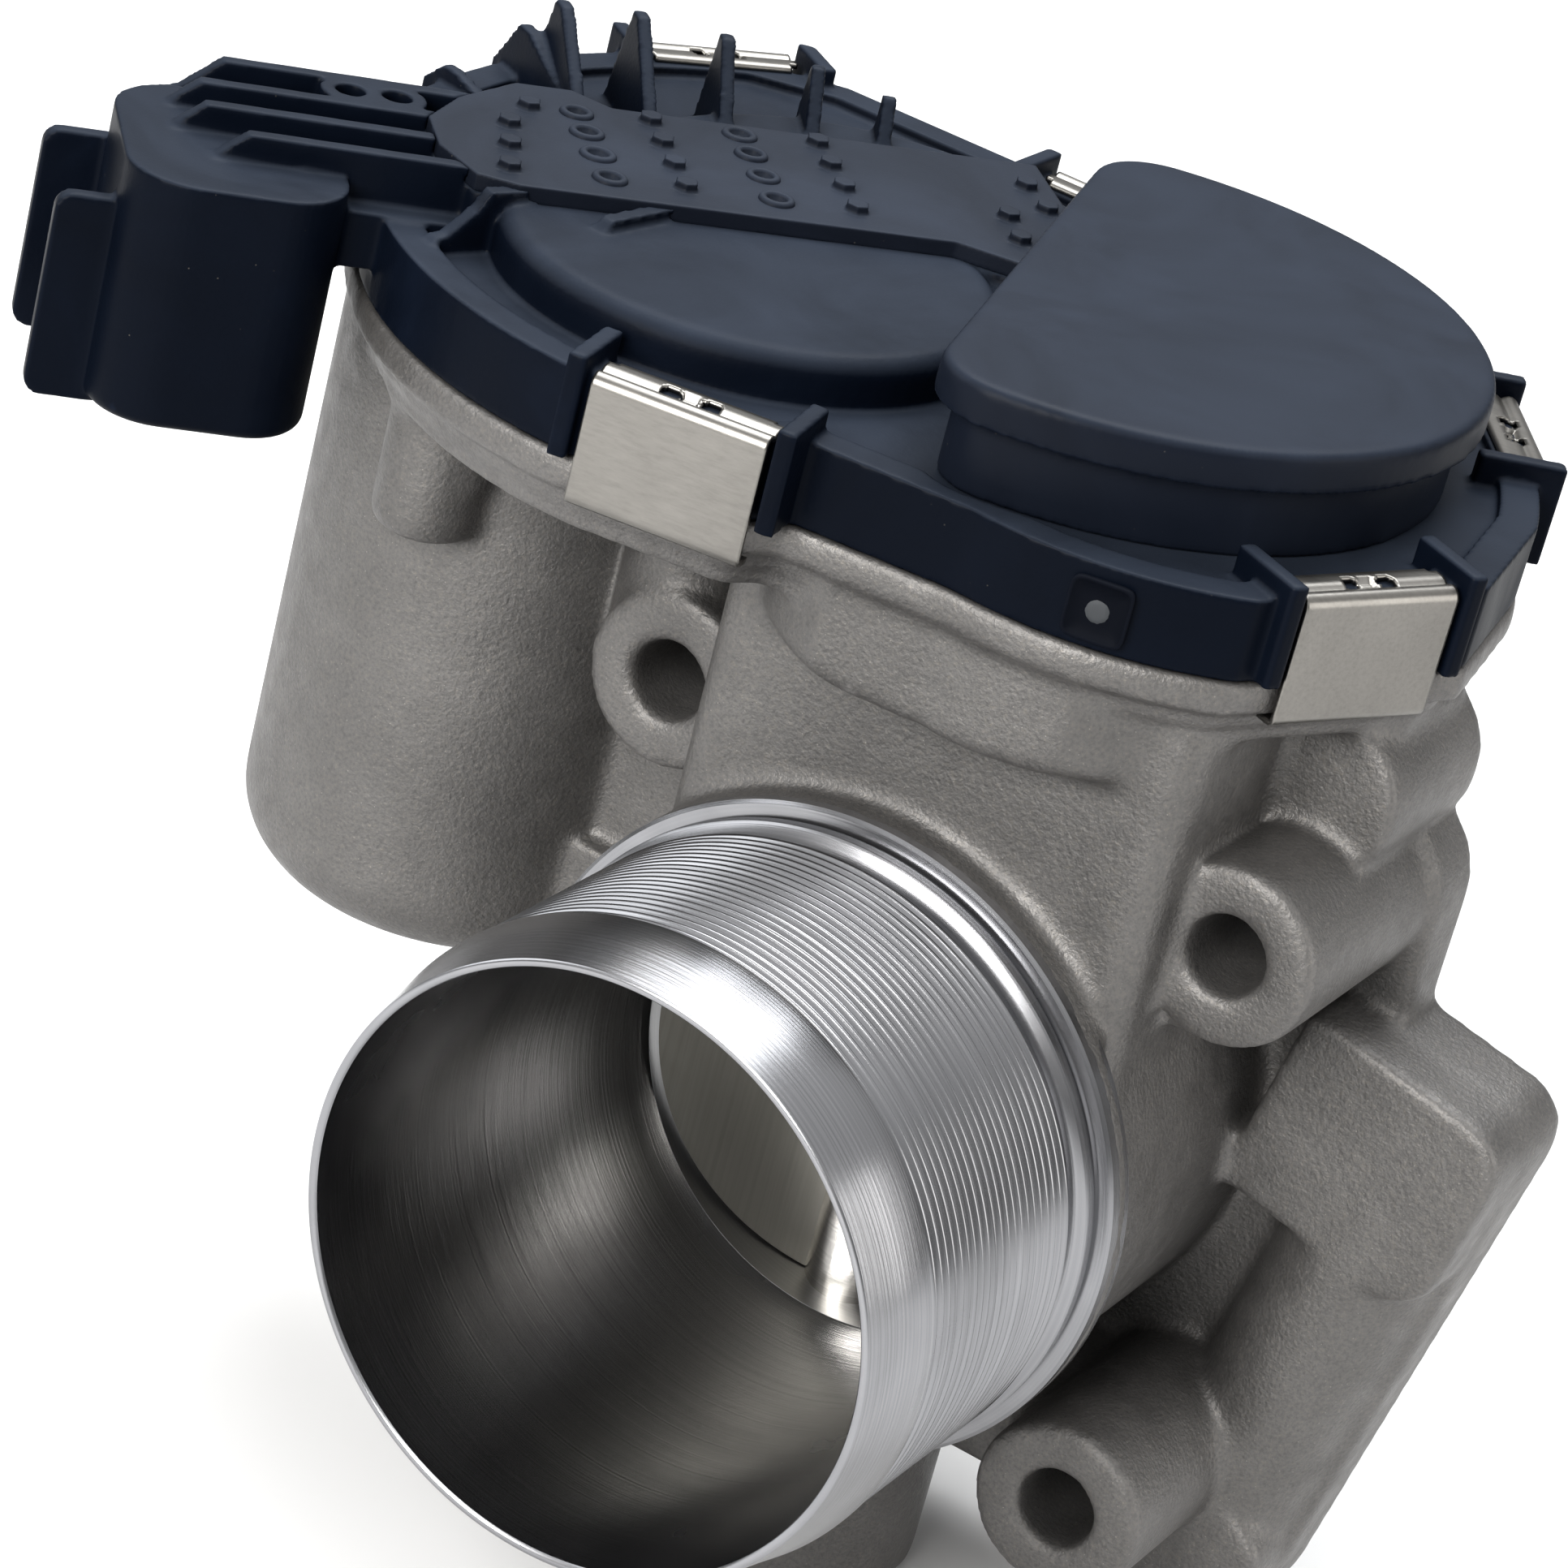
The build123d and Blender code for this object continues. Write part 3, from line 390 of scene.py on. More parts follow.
@dataclass(frozen=True)
class MouldedPlastic:
    """Glass-filled moulded plastic with a fine texture, dull spots, a little dust and a painted sheen on
    upward faces.
    """

    name: str = "black_plastic"
    colour: Colour = (0.0017, 0.0029, 0.0062)
    roughness: float = 0.4
    grain: float = 2600.0
    relief: float = 0.00003
    dust: float = 0.05
    scuff: float = 0.5
    sheen: float = 0.03
    # painted sheen: the lighter base colour given to faces that look up, standing in for the overhead light's
    # reflection
    painted_sheen: Colour = (0.0155, 0.0198, 0.029)

    def make(self) -> bpy.types.Material:
        """Builds the material: clouded colour, uneven gloss, specks, a painted sheen on upward faces and a
        fine moulded relief.

        Returns:
            The material.
        """
        bench = NodeBench(self.name)
        cloud = bench.noise(48.0, 4.0, 0.6, warp=0.8)
        base = bench.ramp(cloud, [(0.32, tinted(self.colour, 0.8)), (0.55, self.colour),
                                  (0.72, tinted(self.colour, 1.0 + self.scuff))])
        specks = bench.ramp(bench.cells(620.0), [(0.0, (0.5, 0.45, 0.36)), (0.055, grey(0.0))])
        thin = bench.ramp(bench.noise(130.0, 1.0), [(0.5, grey(0.0)), (0.7, grey(1.0))])
        dusted = bench.blend(base, bench.blend(specks, thin, 1.0, "MULTIPLY"), self.dust * 4.0, "ADD")
        rubbed = bench.ramp(bench.noise(500.0), [
            (0.3, tinted(self.colour, 1.5)), (0.7, tinted(self.colour, 2.4))])
        handled = bench.blend(dusted, rubbed, by=bench.edges(0.52, 0.66))
        # painted sheen: the base colour is lightened on upward faces, where the overhead light would reflect
        top_sheen_ramp = bench.ramp(cloud, [(0.32, tinted(self.painted_sheen, 0.78)), (0.68, tinted(self.painted_sheen, 1.25))])
        bench.feed("Base Color", bench.blend(handled, top_sheen_ramp, by=bench.upward(0.3, 0.9)))
        bench.feed("Roughness", bench.ramp(cloud, [
            (0.3, grey(self.roughness - 0.05)), (0.7, grey(self.roughness + 0.12))]))
        fine = bench.bump(bench.noise(self.grain, 2.0, 0.5), 0.6, self.relief)
        bench.feed("Normal", bench.bump(bench.noise(90.0, 2.0), 0.2, 0.0002, fine))
        bench.fix(Specular_IOR_Level=self.sheen)
        return bench.material


@dataclass(frozen=True)
class DullSolid:
    """A plain inner material, such as rubber, carbon, sintered metal or natural plastic."""

    name: str
    colour: Colour
    roughness: float = 0.6
    metal: float = 0.0
    grain: float = 1200.0
    relief: float = 0.00006

    def make(self) -> bpy.types.Material:
        """Builds the material: mottled colour, uneven gloss and a slight relief.

        Returns:
            The material.
        """
        bench = NodeBench(self.name)
        mottle = bench.noise(self.grain * 0.25, 4.0, 0.6)
        bench.feed("Base Color", bench.ramp(mottle, [
            (0.3, tinted(self.colour, 0.8)), (0.5, self.colour), (0.7, tinted(self.colour, 1.2))]))
        bench.feed("Roughness", bench.ramp(bench.noise(self.grain * 0.1, 2.0), [
            (0.3, grey(self.roughness - 0.08)), (0.7, grey(self.roughness + 0.08))]))
        bench.feed("Normal", bench.bump(bench.noise(self.grain, 2.0), 0.5, self.relief))
        bench.fix(Metallic=self.metal)
        return bench.material


CASTING = CastAluminium()
# painted shade: a much darker copy of the cast aluminium, for the inside of the tube where shade falls
SHADED_THROAT = CastAluminium("throat_casting", (0.036, 0.038, 0.043), 0.85, 0.12, 1900.0, 0.1)
TURNED = TooledMetal()
BORE_METAL = TooledMetal("machined_bore", (0.27, 0.27, 0.27), 0.32, Lay.AROUND_BORE, 0.00003, 0.12)
PLATE_METAL = TooledMetal("brushed_plate", (0.13, 0.125, 0.11), 0.36, Lay.ALONG_Z, 0.000006, 0.1)
SHAFT_STEEL = TooledMetal("ground_steel", (0.6, 0.58, 0.54), 0.22, Lay.AROUND_SHAFT, 0.00002)
CLIP_STEEL = TooledMetal("clip_stainless", (0.2, 0.192, 0.178), 0.27, Lay.ALONG_X, 0.000006, 0.12)
COVER_PLASTIC = MouldedPlastic()
CAP_PLASTIC = MouldedPlastic(
    "cap_plastic", (0.0048, 0.0066, 0.0115), 0.42, 1700.0, 0.00002, dust=0.03, scuff=0.45, sheen=0.05,
    painted_sheen=(0.0138, 0.018, 0.0275))
STRIP_PLASTIC = MouldedPlastic(
    "strip_plastic", (0.0048, 0.0064, 0.0108), 0.46, 3000.0, 0.00003, dust=0.05, scuff=0.3, sheen=0.05,
    painted_sheen=(0.0155, 0.0196, 0.0288))
RUBBER = DullSolid("seal_rubber", (0.02, 0.02, 0.021), 0.75)
GEAR_PLASTIC = DullSolid("gear_plastic", (0.62, 0.59, 0.5), 0.45)
MAGNET = DullSolid("magnet_material", (0.06, 0.06, 0.065), 0.55, 0.3)
COPPER = DullSolid("enamelled_copper", (0.5, 0.2, 0.09), 0.3, 0.9)
BRASS = DullSolid("turned_brass", (0.6, 0.43, 0.17), 0.3, 1.0)
CORE_STEEL = DullSolid("core_steel", (0.2, 0.2, 0.21), 0.45, 0.9)
CARBON = DullSolid("brush_carbon", (0.03, 0.03, 0.03), 0.6, 0.2)
BOARD = DullSolid("board_laminate", (0.012, 0.1, 0.045), 0.4)
INK = DullSolid("ink_dot", (0.016, 0.019, 0.023), 0.75)
# painted shade: a darker, duller copy of the moulded plastic for the pin-mark dimples and the sunk square
RECESS_SHADE = MouldedPlastic(
    "sunk_square", (0.0016, 0.0022, 0.0042), 0.6, 2200.0, 0.00002, dust=0.0, scuff=0.2, sheen=0.03,
    painted_sheen=(0.004, 0.005, 0.008))

Finish = CastAluminium | TooledMetal | MouldedPlastic | DullSolid


class PaintShop:
    """Keeps one material for each finish and puts finishes on pieces."""

    def __init__(self) -> None:
        """Starts with no materials made."""
        self.made: dict[str, bpy.types.Material] = {}

    def material(self, finish: Finish) -> bpy.types.Material:
        """Gives a finish's material, made the first time it is asked for.

        Args:
            finish: the finish.

        Returns:
            Its material.
        """
        if finish.name not in self.made:
            self.made[finish.name] = finish.make()
        return self.made[finish.name]

    def dress(self, piece: bpy.types.Object, *finishes: Finish) -> None:
        """Replaces a piece's materials.

        Args:
            piece: the object to dress.
            finishes: one finish for each material index of its faces.
        """
        if len(finishes) == 1:
            piece.data.polygons.foreach_set("material_index", [0] * len(piece.data.polygons))
        piece.data.materials.clear()
        for finish in finishes:
            piece.data.materials.append(self.material(finish))


SHOP = PaintShop()


# ---------------------------------------------------------------- mesh making
def add_piece(name: str, work: bmesh.types.BMesh, body: Body) -> bpy.types.Object:
    """Turns worked mesh data into a piece that rides on a body.

    Args:
        name: the piece's name.
        work: the mesh data, which is used up.
        body: the group that it moves with.

    Returns:
        The new object, smooth shaded.
    """
    mesh = bpy.data.meshes.new(name)
    bmesh.ops.recalc_face_normals(work, faces=work.faces)
    work.to_mesh(mesh)
    work.free()
    mesh.polygons.foreach_set("use_smooth", [True] * len(mesh.polygons))
    piece = bpy.data.objects.new(name, mesh)
    bpy.context.scene.collection.objects.link(piece)
    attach(piece, body.value)
    return piece


def soften(piece: bpy.types.Object, voxel: float, passes: int) -> None:
    """Gives a piece the rounded edges and blended corners of a cast or moulded part.

    Args:
        piece: the object, whose own mesh isn't changed.
        voxel: size of the grid in millimetres.
        passes: number of smoothing passes, more for larger blends.
    """
    grid = piece.modifiers.new("grid", "REMESH")
    grid.mode = "VOXEL"
    grid.voxel_size = voxel * MM
    grid.use_smooth_shade = True
    ease = piece.modifiers.new("ease", "SMOOTH")
    ease.factor = EASE_FACTOR
    ease.iterations = passes


def bevel(piece: bpy.types.Object, width: float) -> None:
    """Rounds a piece's sharp edges.

    Args:
        piece: the object, whose own mesh isn't changed.
        width: width of the rounding in millimetres.
    """
    rounder = piece.modifiers.new("edges", "BEVEL")
    rounder.width = width * MM
    rounder.segments = 2
    rounder.limit_method = "ANGLE"
    rounder.angle_limit = math.radians(SHARP_CORNER)
    rounder.harden_normals = True


def turned_about_bore(profile: Sequence[tuple[float, float]], segments: int,
                      finish_of: Optional[Callable[[float, float], int]] = None) -> bmesh.types.BMesh:
    """Turns a closed profile about the bore axis, with crisp corners beside its long sides.

    Args:
        profile: radius and station along Y of each corner, in millimetres.
        segments: number of steps round the axis.
        finish_of: picks a material index from a face's radius and station.

    Returns:
        The turned mesh.
    """
    work = bmesh.new()
    turns = [2 * math.pi * step / segments for step in range(segments)]
    rings = [[work.verts.new((radius * MM * math.cos(turn), station * MM, radius * MM * math.sin(turn)))
              for turn in turns] for radius, station in profile]
    for index, (lower, (r0, y0)) in enumerate(zip(rings, profile)):
        following = (index + 1) % len(rings)
        upper, (r1, y1) = rings[following], profile[following]
        for step in range(segments):
            after = (step + 1) % segments
            face = work.faces.new((lower[step], lower[after], upper[after], upper[step]))
            if finish_of is not None:
                face.material_index = finish_of((r0 + r1) / 2, (y0 + y1) / 2)
    for index, ring in enumerate(rings):
        before, here, beyond = (Vector(profile[(index + step) % len(profile)]) for step in (-1, 0, 1))
        on_long_side = max((here - before).length, (beyond - here).length) > LONG_SIDE
        if on_long_side and (here - before).angle(beyond - here, 0.0) > math.radians(TURNED_CORNER):
            for step in range(segments):
                work.edges.get((ring[step], ring[(step + 1) % segments])).smooth = False
    return work


def wheel(work: bmesh.types.BMesh, rings: Sequence[Sequence[bmesh.types.BMVert]],
          index_of: Callable[[int], int] = lambda row: 0) -> None:
    """Joins rings of points into bands of faces.

    Args:
        work: the mesh that the points are in.
        rings: the rings, each with the same number of points.
        index_of: picks a band's material index from its number.
    """
    for row, (outer, inner) in enumerate(zip(rings, rings[1:])):
        for step in range(len(outer)):
            after = (step + 1) % len(outer)
            face = work.faces.new((outer[step], outer[after], inner[after], inner[step]))
            face.material_index = index_of(row)


def upright_stand(x: float, y: float, z: float, turn: float) -> Matrix:
    """Gives the placing of something that stands upright on the cover.

    Args:
        x: its place to the right, in millimetres.
        y: its place towards the engine, in millimetres.
        z: its height, in millimetres.
        turn: its turn about the upright, in degrees.

    Returns:
        The placing.
    """
    return Matrix.Translation((x * MM, y * MM, z * MM)) @ Matrix.Rotation(math.radians(turn), 4, "Z")


# ---------------------------------------------------------------- sub-assemblies
@dataclass
class Casting:
    """The aluminium casting behind the hose spigot, with blended corners."""

    spigot_cut: float = -38.2
    spigot_reach: float = 30.4
    voxel: float = 0.5
    passes: int = 20

    def build(self) -> list[bpy.types.Object]:
        """Cuts the spigot off the housing's shape, closes the cut and blends every corner.

        Returns:
            The casting.
        """
        work = bmesh.new()
        work.from_mesh(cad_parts["housing"].data)
        bmesh.ops.remove_doubles(work, verts=work.verts, dist=0.002 * MM)
        near = {vert for vert in work.verts if math.hypot(vert.co.x, vert.co.z) < self.spigot_reach * MM}
        spigot = [part for part in work.edges[:] + work.faces[:] if near.issuperset(part.verts)]
        cut = bmesh.ops.bisect_plane(
            work, geom=[*near, *spigot], dist=0.0001 * MM,
            plane_co=(0, self.spigot_cut * MM, 0), plane_no=(0, -1, 0), clear_outer=True)
        rim = [part for part in cut["geom_cut"] if isinstance(part, bmesh.types.BMEdge)]
        bmesh.ops.triangle_fill(work, edges=rim, use_beauty=True)
        piece = add_piece("casting", work, Body.BODY)
        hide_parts("housing")
        soften(piece, self.voxel, self.passes)
        SHOP.dress(piece, CASTING)
        return [piece]


@dataclass
class HoseSpigot:
    """The turned spigot with its lip, ridges and collar, and the rough throat inside it, whose darker casting
    finish is painted shade.
    """

    mouth: float = -72.35
    mouth_radius: float = 25.9
    lip_end: float = -64.4
    lip_radius: float = 27.25
    ridge_root: float = 26.55
    ridge_height: float = 0.54
    ridges: int = 21
    ridge_end: float = -42.2
    ridge_shape: tuple[tuple[float, float], ...] = (
        (0.14, 0.0), (0.34, 0.75), (0.5, 1.0), (0.66, 0.75), (0.86, 0.0))
    groove_depth: float = 0.55
    collar_radius: float = 28.65
    throat: tuple[tuple[float, float], ...] = (
        (24.4, -34.9), (23.6, -27.9), (21.97, -27.55), (22.25, -28.3), (22.45, -30.4), (22.75, -33.4),
        (23.1, -37.0), (24.2, -48.0), (24.75, -60.0), (24.98, -70.8))
    throat_limit: float = 25.08
    throat_start: float = -71.45
    ring_start: float = -31.5
    ring_limit: float = 23.0
    bore: tuple[tuple[float, float], ...] = ((21.95, -27.6), (21.95, -0.1), (22.6, -0.1), (22.6, -27.6))
    segments: int = 288

    def lip(self) -> list[tuple[float, float]]:
        """Gives the profile of the mouth and its lip.

        Returns:
            Radius and station of each corner.
        """
        mouth, radius = self.mouth, self.mouth_radius
        return [(25.15, mouth + 0.25), (25.35, mouth), (radius - 0.15, mouth), (radius, mouth + 0.15),
                (radius + 0.75, mouth + 4.2), (self.lip_radius, self.lip_end - 0.9),
                (self.lip_radius, self.lip_end - 0.25), (self.ridge_root, self.lip_end)]

    def ridged(self) -> list[tuple[float, float]]:
        """Gives the profile of the ridges that hold the hose.

        Returns:
            Radius and station of each corner.
        """
        pitch = (self.ridge_end - self.lip_end) / self.ridges
        return [(self.ridge_root + rise * self.ridge_height, self.lip_end + ridge * pitch + share * pitch)
                for ridge in range(self.ridges) for share, rise in self.ridge_shape]

    def collar(self) -> list[tuple[float, float]]:
        """Gives the profile of the groove behind the ridges and of the two steps of the collar.

        Returns:
            Radius and station of each corner.
        """
        root, end, outer = self.ridge_root, self.ridge_end, self.collar_radius
        return [(root, end), (root - self.groove_depth, end + 0.5), (root - self.groove_depth, end + 1.5),
                (root + 0.7, end + 1.9), (root + 0.9, end + 2.1), (root + 0.9, -39.1), (root + 0.5, -38.9),
                (root + 0.5, -38.5), (outer - 0.3, -38.3), (outer, -38.0), (outer, -35.4),
                (outer - 0.4, -34.9)]

    def finish_at(self, radius: float, station: float) -> int:
        """Picks the turned outside, the rough throat in painted shade or the machined ring at its end.

        Args:
            radius: radius of the face's middle.
            station: station of the face's middle.

        Returns:
            The material index.
        """
        if radius >= self.throat_limit or station <= self.throat_start:
            return 0
        return 2 if station > self.ring_start and radius < self.ring_limit else 1

    def build(self) -> list[bpy.types.Object]:
        """Turns the spigot and the machined bore behind it.

        Returns:
            The spigot and the bore's lining.
        """
        outline = [*self.lip(), *self.ridged(), *self.collar(), *self.throat]
        work = turned_about_bore(outline, self.segments, self.finish_at)
        spigot = add_piece("hose_spigot", work, Body.BODY)
        # the throat takes the darker copy of the casting finish, which is painted shade
        SHOP.dress(spigot, TURNED, SHADED_THROAT, BORE_METAL)
        work = turned_about_bore(self.bore, self.segments)
        liner = add_piece("machined_bore", work, Body.BODY)
        SHOP.dress(liner, BORE_METAL)
        return [spigot, liner]


@dataclass
class SpringClips:
    """The stainless clips that hold the cover, with a folded bead, keyhole notches and a tab."""

    places: tuple[Point, ...] = (
        (-22.2, -47.2, 10.3), (28.6, -24.05, 63.3), (21.9, 18.4, 126.0), (-65.3, 24.2, 233.0),
        (-24.0, 30.5, 180.0))
    width: float = 15.2
    sheet: float = 0.45
    top: float = 59.6
    bottom: float = 48.6
    reach: float = 3.0
    front: float = 0.97
    bend_radius: float = 0.82
    face_rows: int = 26
    columns: int = 76
    tab_sag: float = 0.45
    corner_cut: float = 0.9

    def path(self) -> list[tuple[float, float]]:
        """Gives the sheet's middle line, from the top's inner end over the bend to the hem.

        Returns:
            Distance inwards and height of each point.
        """
        top, bend_top = self.top, self.top - 0.85
        points = [(self.reach, top - 0.35), (self.reach - 0.35, top - 0.05), (self.reach - 0.8, top)]
        points += [(1.9 - 0.3 * step, top) for step in range(3)]
        points += [(0.95, top - 0.12), (0.7, top - 0.3), (0.45, top - 0.32), (0.2, top - 0.14)]
        for step in range(7):
            turn = math.radians(90 * step / 6)
            points.append((-0.15 - self.bend_radius * math.sin(turn),
                           bend_top + self.bend_radius * math.cos(turn)))
        fall = bend_top - self.bottom - 0.6
        points += [(-self.front, bend_top - fall * (step + 1) / self.face_rows)
                   for step in range(self.face_rows)]
        points += [(-0.88, self.bottom + 0.25), (-0.6, self.bottom + 0.05), (-0.2, self.bottom),
                   (0.9, self.bottom)]
        return points

    def cut_away(self, across: float, inward: float) -> bool:
        """Says whether a point of the top lies in a keyhole notch or a cut corner.

        Args:
            across: distance from the clip's middle, in millimetres.
            inward: distance inwards from the front, in millimetres.

        Returns:
            True where the sheet is cut away.
        """
        for side in (-1, 1):
            if math.hypot(across - side * 1.75, (inward - 1.05) * 0.85) < 0.85:
                return True
            if abs(across - side * 1.3) < 0.45 and 1.0 < inward < 1.75:
                return True
        return self.reach - 0.7 < inward and abs(across) > self.width / 2 - self.corner_cut

    def stand_clip(self, work: bmesh.types.BMesh, stand: Matrix) -> None:
        """Adds one clip's sheet to the mesh.

        Args:
            work: the mesh.
            stand: places the clip's middle, with X across and Y inwards.
        """
        path = self.path()
        grid = []
        for inward, height in path:
            row = []
            for column in range(self.columns + 1):
                across = self.width * (column / self.columns - 0.5)
                on_tab = abs(across) < 0.8 and 0.6 < inward < 1.6
                drop = self.tab_sag if on_tab else 0.0
                row.append(work.verts.new(stand @ Vector((across * MM, inward * MM, (height - drop) * MM))))
            grid.append(row)
        for row in range(len(path) - 1):
            inward = (path[row][0] + path[row + 1][0]) / 2
            on_top = path[row][1] > self.top - 0.5
            for column in range(self.columns):
                across = self.width * ((column + 0.5) / self.columns - 0.5)
                if on_top and self.cut_away(across, inward):
                    continue
                work.faces.new((grid[row][column], grid[row][column + 1],
                                grid[row + 1][column + 1], grid[row + 1][column]))

    def build(self) -> list[bpy.types.Object]:
        """Stands the five clips round the cover as one sheet-metal piece.

        Returns:
            The clips.
        """
        work = bmesh.new()
        for x, y, turn in self.places:
            self.stand_clip(work, upright_stand(x, y, 0.0, turn))
        loose = [vert for vert in work.verts if not vert.link_faces]
        bmesh.ops.delete(work, geom=loose, context="VERTS")
        clips = add_piece("spring_clips", work, Body.BODY)
        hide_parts("cover_clips")
        thick = clips.modifiers.new("sheet", "SOLIDIFY")
        thick.thickness = self.sheet * MM
        thick.offset = 0.0
        SHOP.dress(clips, CLIP_STEEL)
        return [clips]


@dataclass
class CoverMouldings:
    """The plastic gear cover, lead strip and sensor cap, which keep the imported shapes."""

    recipes: tuple[tuple[str, float, int, Finish], ...] = (
        ("gear_cover", 0.3, 2, COVER_PLASTIC), ("lead_strip", 0.17, 1, STRIP_PLASTIC),
        ("sensor_cap", 0.4, 3, CAP_PLASTIC))

    def build(self) -> list[bpy.types.Object]:
        """Rounds the moulded edges and dresses each moulding.

        Returns:
            The three mouldings.
        """
        made = []
        for node, voxel, passes, finish in self.recipes:
            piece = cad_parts[node]
            soften(piece, voxel, passes)
            SHOP.dress(piece, finish)
            made.append(piece)
        return made


@dataclass
class PinCraters:
    """The raised rings round the mould's pin marks on the lead strip, each with a dimple in painted shade."""

    start: tuple[float, float] = (-51.8, -33.9)
    turn: float = 45.5
    along: tuple[float, ...] = (11.3, 25.9)
    across: tuple[float, ...] = (3.9, 8.9, 13.6, 18.0)
    top: float = 64.0
    profile: tuple[tuple[float, float], ...] = (
        (1.62, -0.15), (1.56, 0.16), (1.42, 0.34), (1.2, 0.4), (1.0, 0.34), (0.86, 0.12), (0.74, -0.25),
        (0.42, -0.4), (0.3, -0.12), (0.12, -0.06))
    last_raised_band: int = 4
    steps: int = 40

    def places(self) -> list[tuple[float, float]]:
        """Gives the plan position of every crater, in the strip's two rows.

        Returns:
            The positions, in millimetres.
        """
        turn = math.radians(self.turn)
        return [(self.start[0] + a * math.cos(turn) - c * math.sin(turn),
                 self.start[1] + a * math.sin(turn) + c * math.cos(turn))
                for a in self.along for c in self.across]

    def build(self) -> list[bpy.types.Object]:
        """Turns one ring at each place, slightly uneven as moulded plastic is.

        Returns:
            The rings as one piece.
        """
        work = bmesh.new()
        chance = random.Random(11)
        turns = [2 * math.pi * step / self.steps for step in range(self.steps)]
        for x, y in self.places():
            size, rise = chance.uniform(0.95, 1.04), chance.uniform(0.85, 1.1)
            rings = [[work.verts.new(((x + radius * size * math.cos(turn)) * MM,
                                      (y + radius * size * math.sin(turn)) * MM,
                                      (self.top + height * rise) * MM)) for turn in turns]
                     for radius, height in self.profile]
            # the inner bands and floor of each dimple take the darker plastic of painted shade
            wheel(work, rings, lambda band: int(band > self.last_raised_band))
            work.faces.new(rings[-1]).material_index = 1
        craters = add_piece("pin_craters", work, Body.BODY)
        SHOP.dress(craters, STRIP_PLASTIC, RECESS_SHADE)
        return [craters]


@dataclass
class InspectionMark:
    """The small sunk square on the cover's front skirt with its dot of ink."""

    place: Point = (13.2, -40.45, 55.4)
    turn: float = 14.0
    half: float = 2.6
    squareness: int = 7
    square_steps: int = 64
    square_rings: tuple[tuple[float, float], ...] = (
        (1.0, -0.3), (1.0, 0.16), (0.97, 0.2), (0.9, 0.2), (0.87, 0.04), (0.4, 0.04))
    dot: float = 1.05
    dot_steps: int = 28
    dot_rings: tuple[tuple[float, float], ...] = ((0.55, 0.1), (0.9, 0.06), (1.0, -0.05))
    dot_middle: float = 0.12

    def build(self) -> list[bpy.types.Object]:
        """Makes the ink dot and the sunk square round it.

        Returns:
            The dot and the square.
        """
        stand = upright_stand(*self.place, self.turn)
        return [self.ink_dot(stand), self.window(stand)]

    def ink_dot(self, stand: Matrix) -> bpy.types.Object:
        """Makes the slightly uneven dot.

        Args:
            stand: places the dot's middle, with X across and Z up its face.

        Returns:
            The dot as a piece.
        """
        work = bmesh.new()
        chance = random.Random(7)
        centre = work.verts.new(stand @ Vector((0, -self.dot_middle * MM, 0)))
        rings = []
        for share, rise in self.dot_rings:
            ring = []
            for step in range(self.dot_steps):
                turn = 2 * math.pi * step / self.dot_steps
                radius = self.dot * share * (1 + chance.uniform(-0.05, 0.05))
                ring.append(work.verts.new(stand @ Vector((
                    radius * math.cos(turn) * MM, -rise * MM, radius * math.sin(turn) * MM))))
            rings.append(ring)
        for step in range(self.dot_steps):
            work.faces.new((centre, rings[0][step], rings[0][(step + 1) % self.dot_steps]))
        wheel(work, rings)
        dot = add_piece("ink_dot", work, Body.BODY)
        SHOP.dress(dot, INK)
        return dot

    def window(self, stand: Matrix) -> bpy.types.Object:
        """Makes the rounded square that lies on the skirt, with a low rim and a sunk floor, in the darker
        plastic of painted shade.

        Args:
            stand: places the square's middle, with X across and Z up its face.

        Returns:
            The square as a piece.
        """
        work = bmesh.new()
        rings = []
        power = self.squareness
        for share, rise in self.square_rings:
            ring = []
            for step in range(self.square_steps):
                turn = 2 * math.pi * (step + 0.5) / self.square_steps
                squared = (abs(math.cos(turn)) ** power + abs(math.sin(turn)) ** power) ** (-1 / power)
                radius = self.half * share * squared
                ring.append(work.verts.new(stand @ Vector((
                    radius * math.cos(turn) * MM, -rise * MM, radius * math.sin(turn) * MM))))
            rings.append(ring)
        wheel(work, rings)
        work.faces.new(rings[-1])
        piece = add_piece("sunk_square", work, Body.BODY)
        # the whole square takes the darker plastic of painted shade
        SHOP.dress(piece, RECESS_SHADE)
        return piece


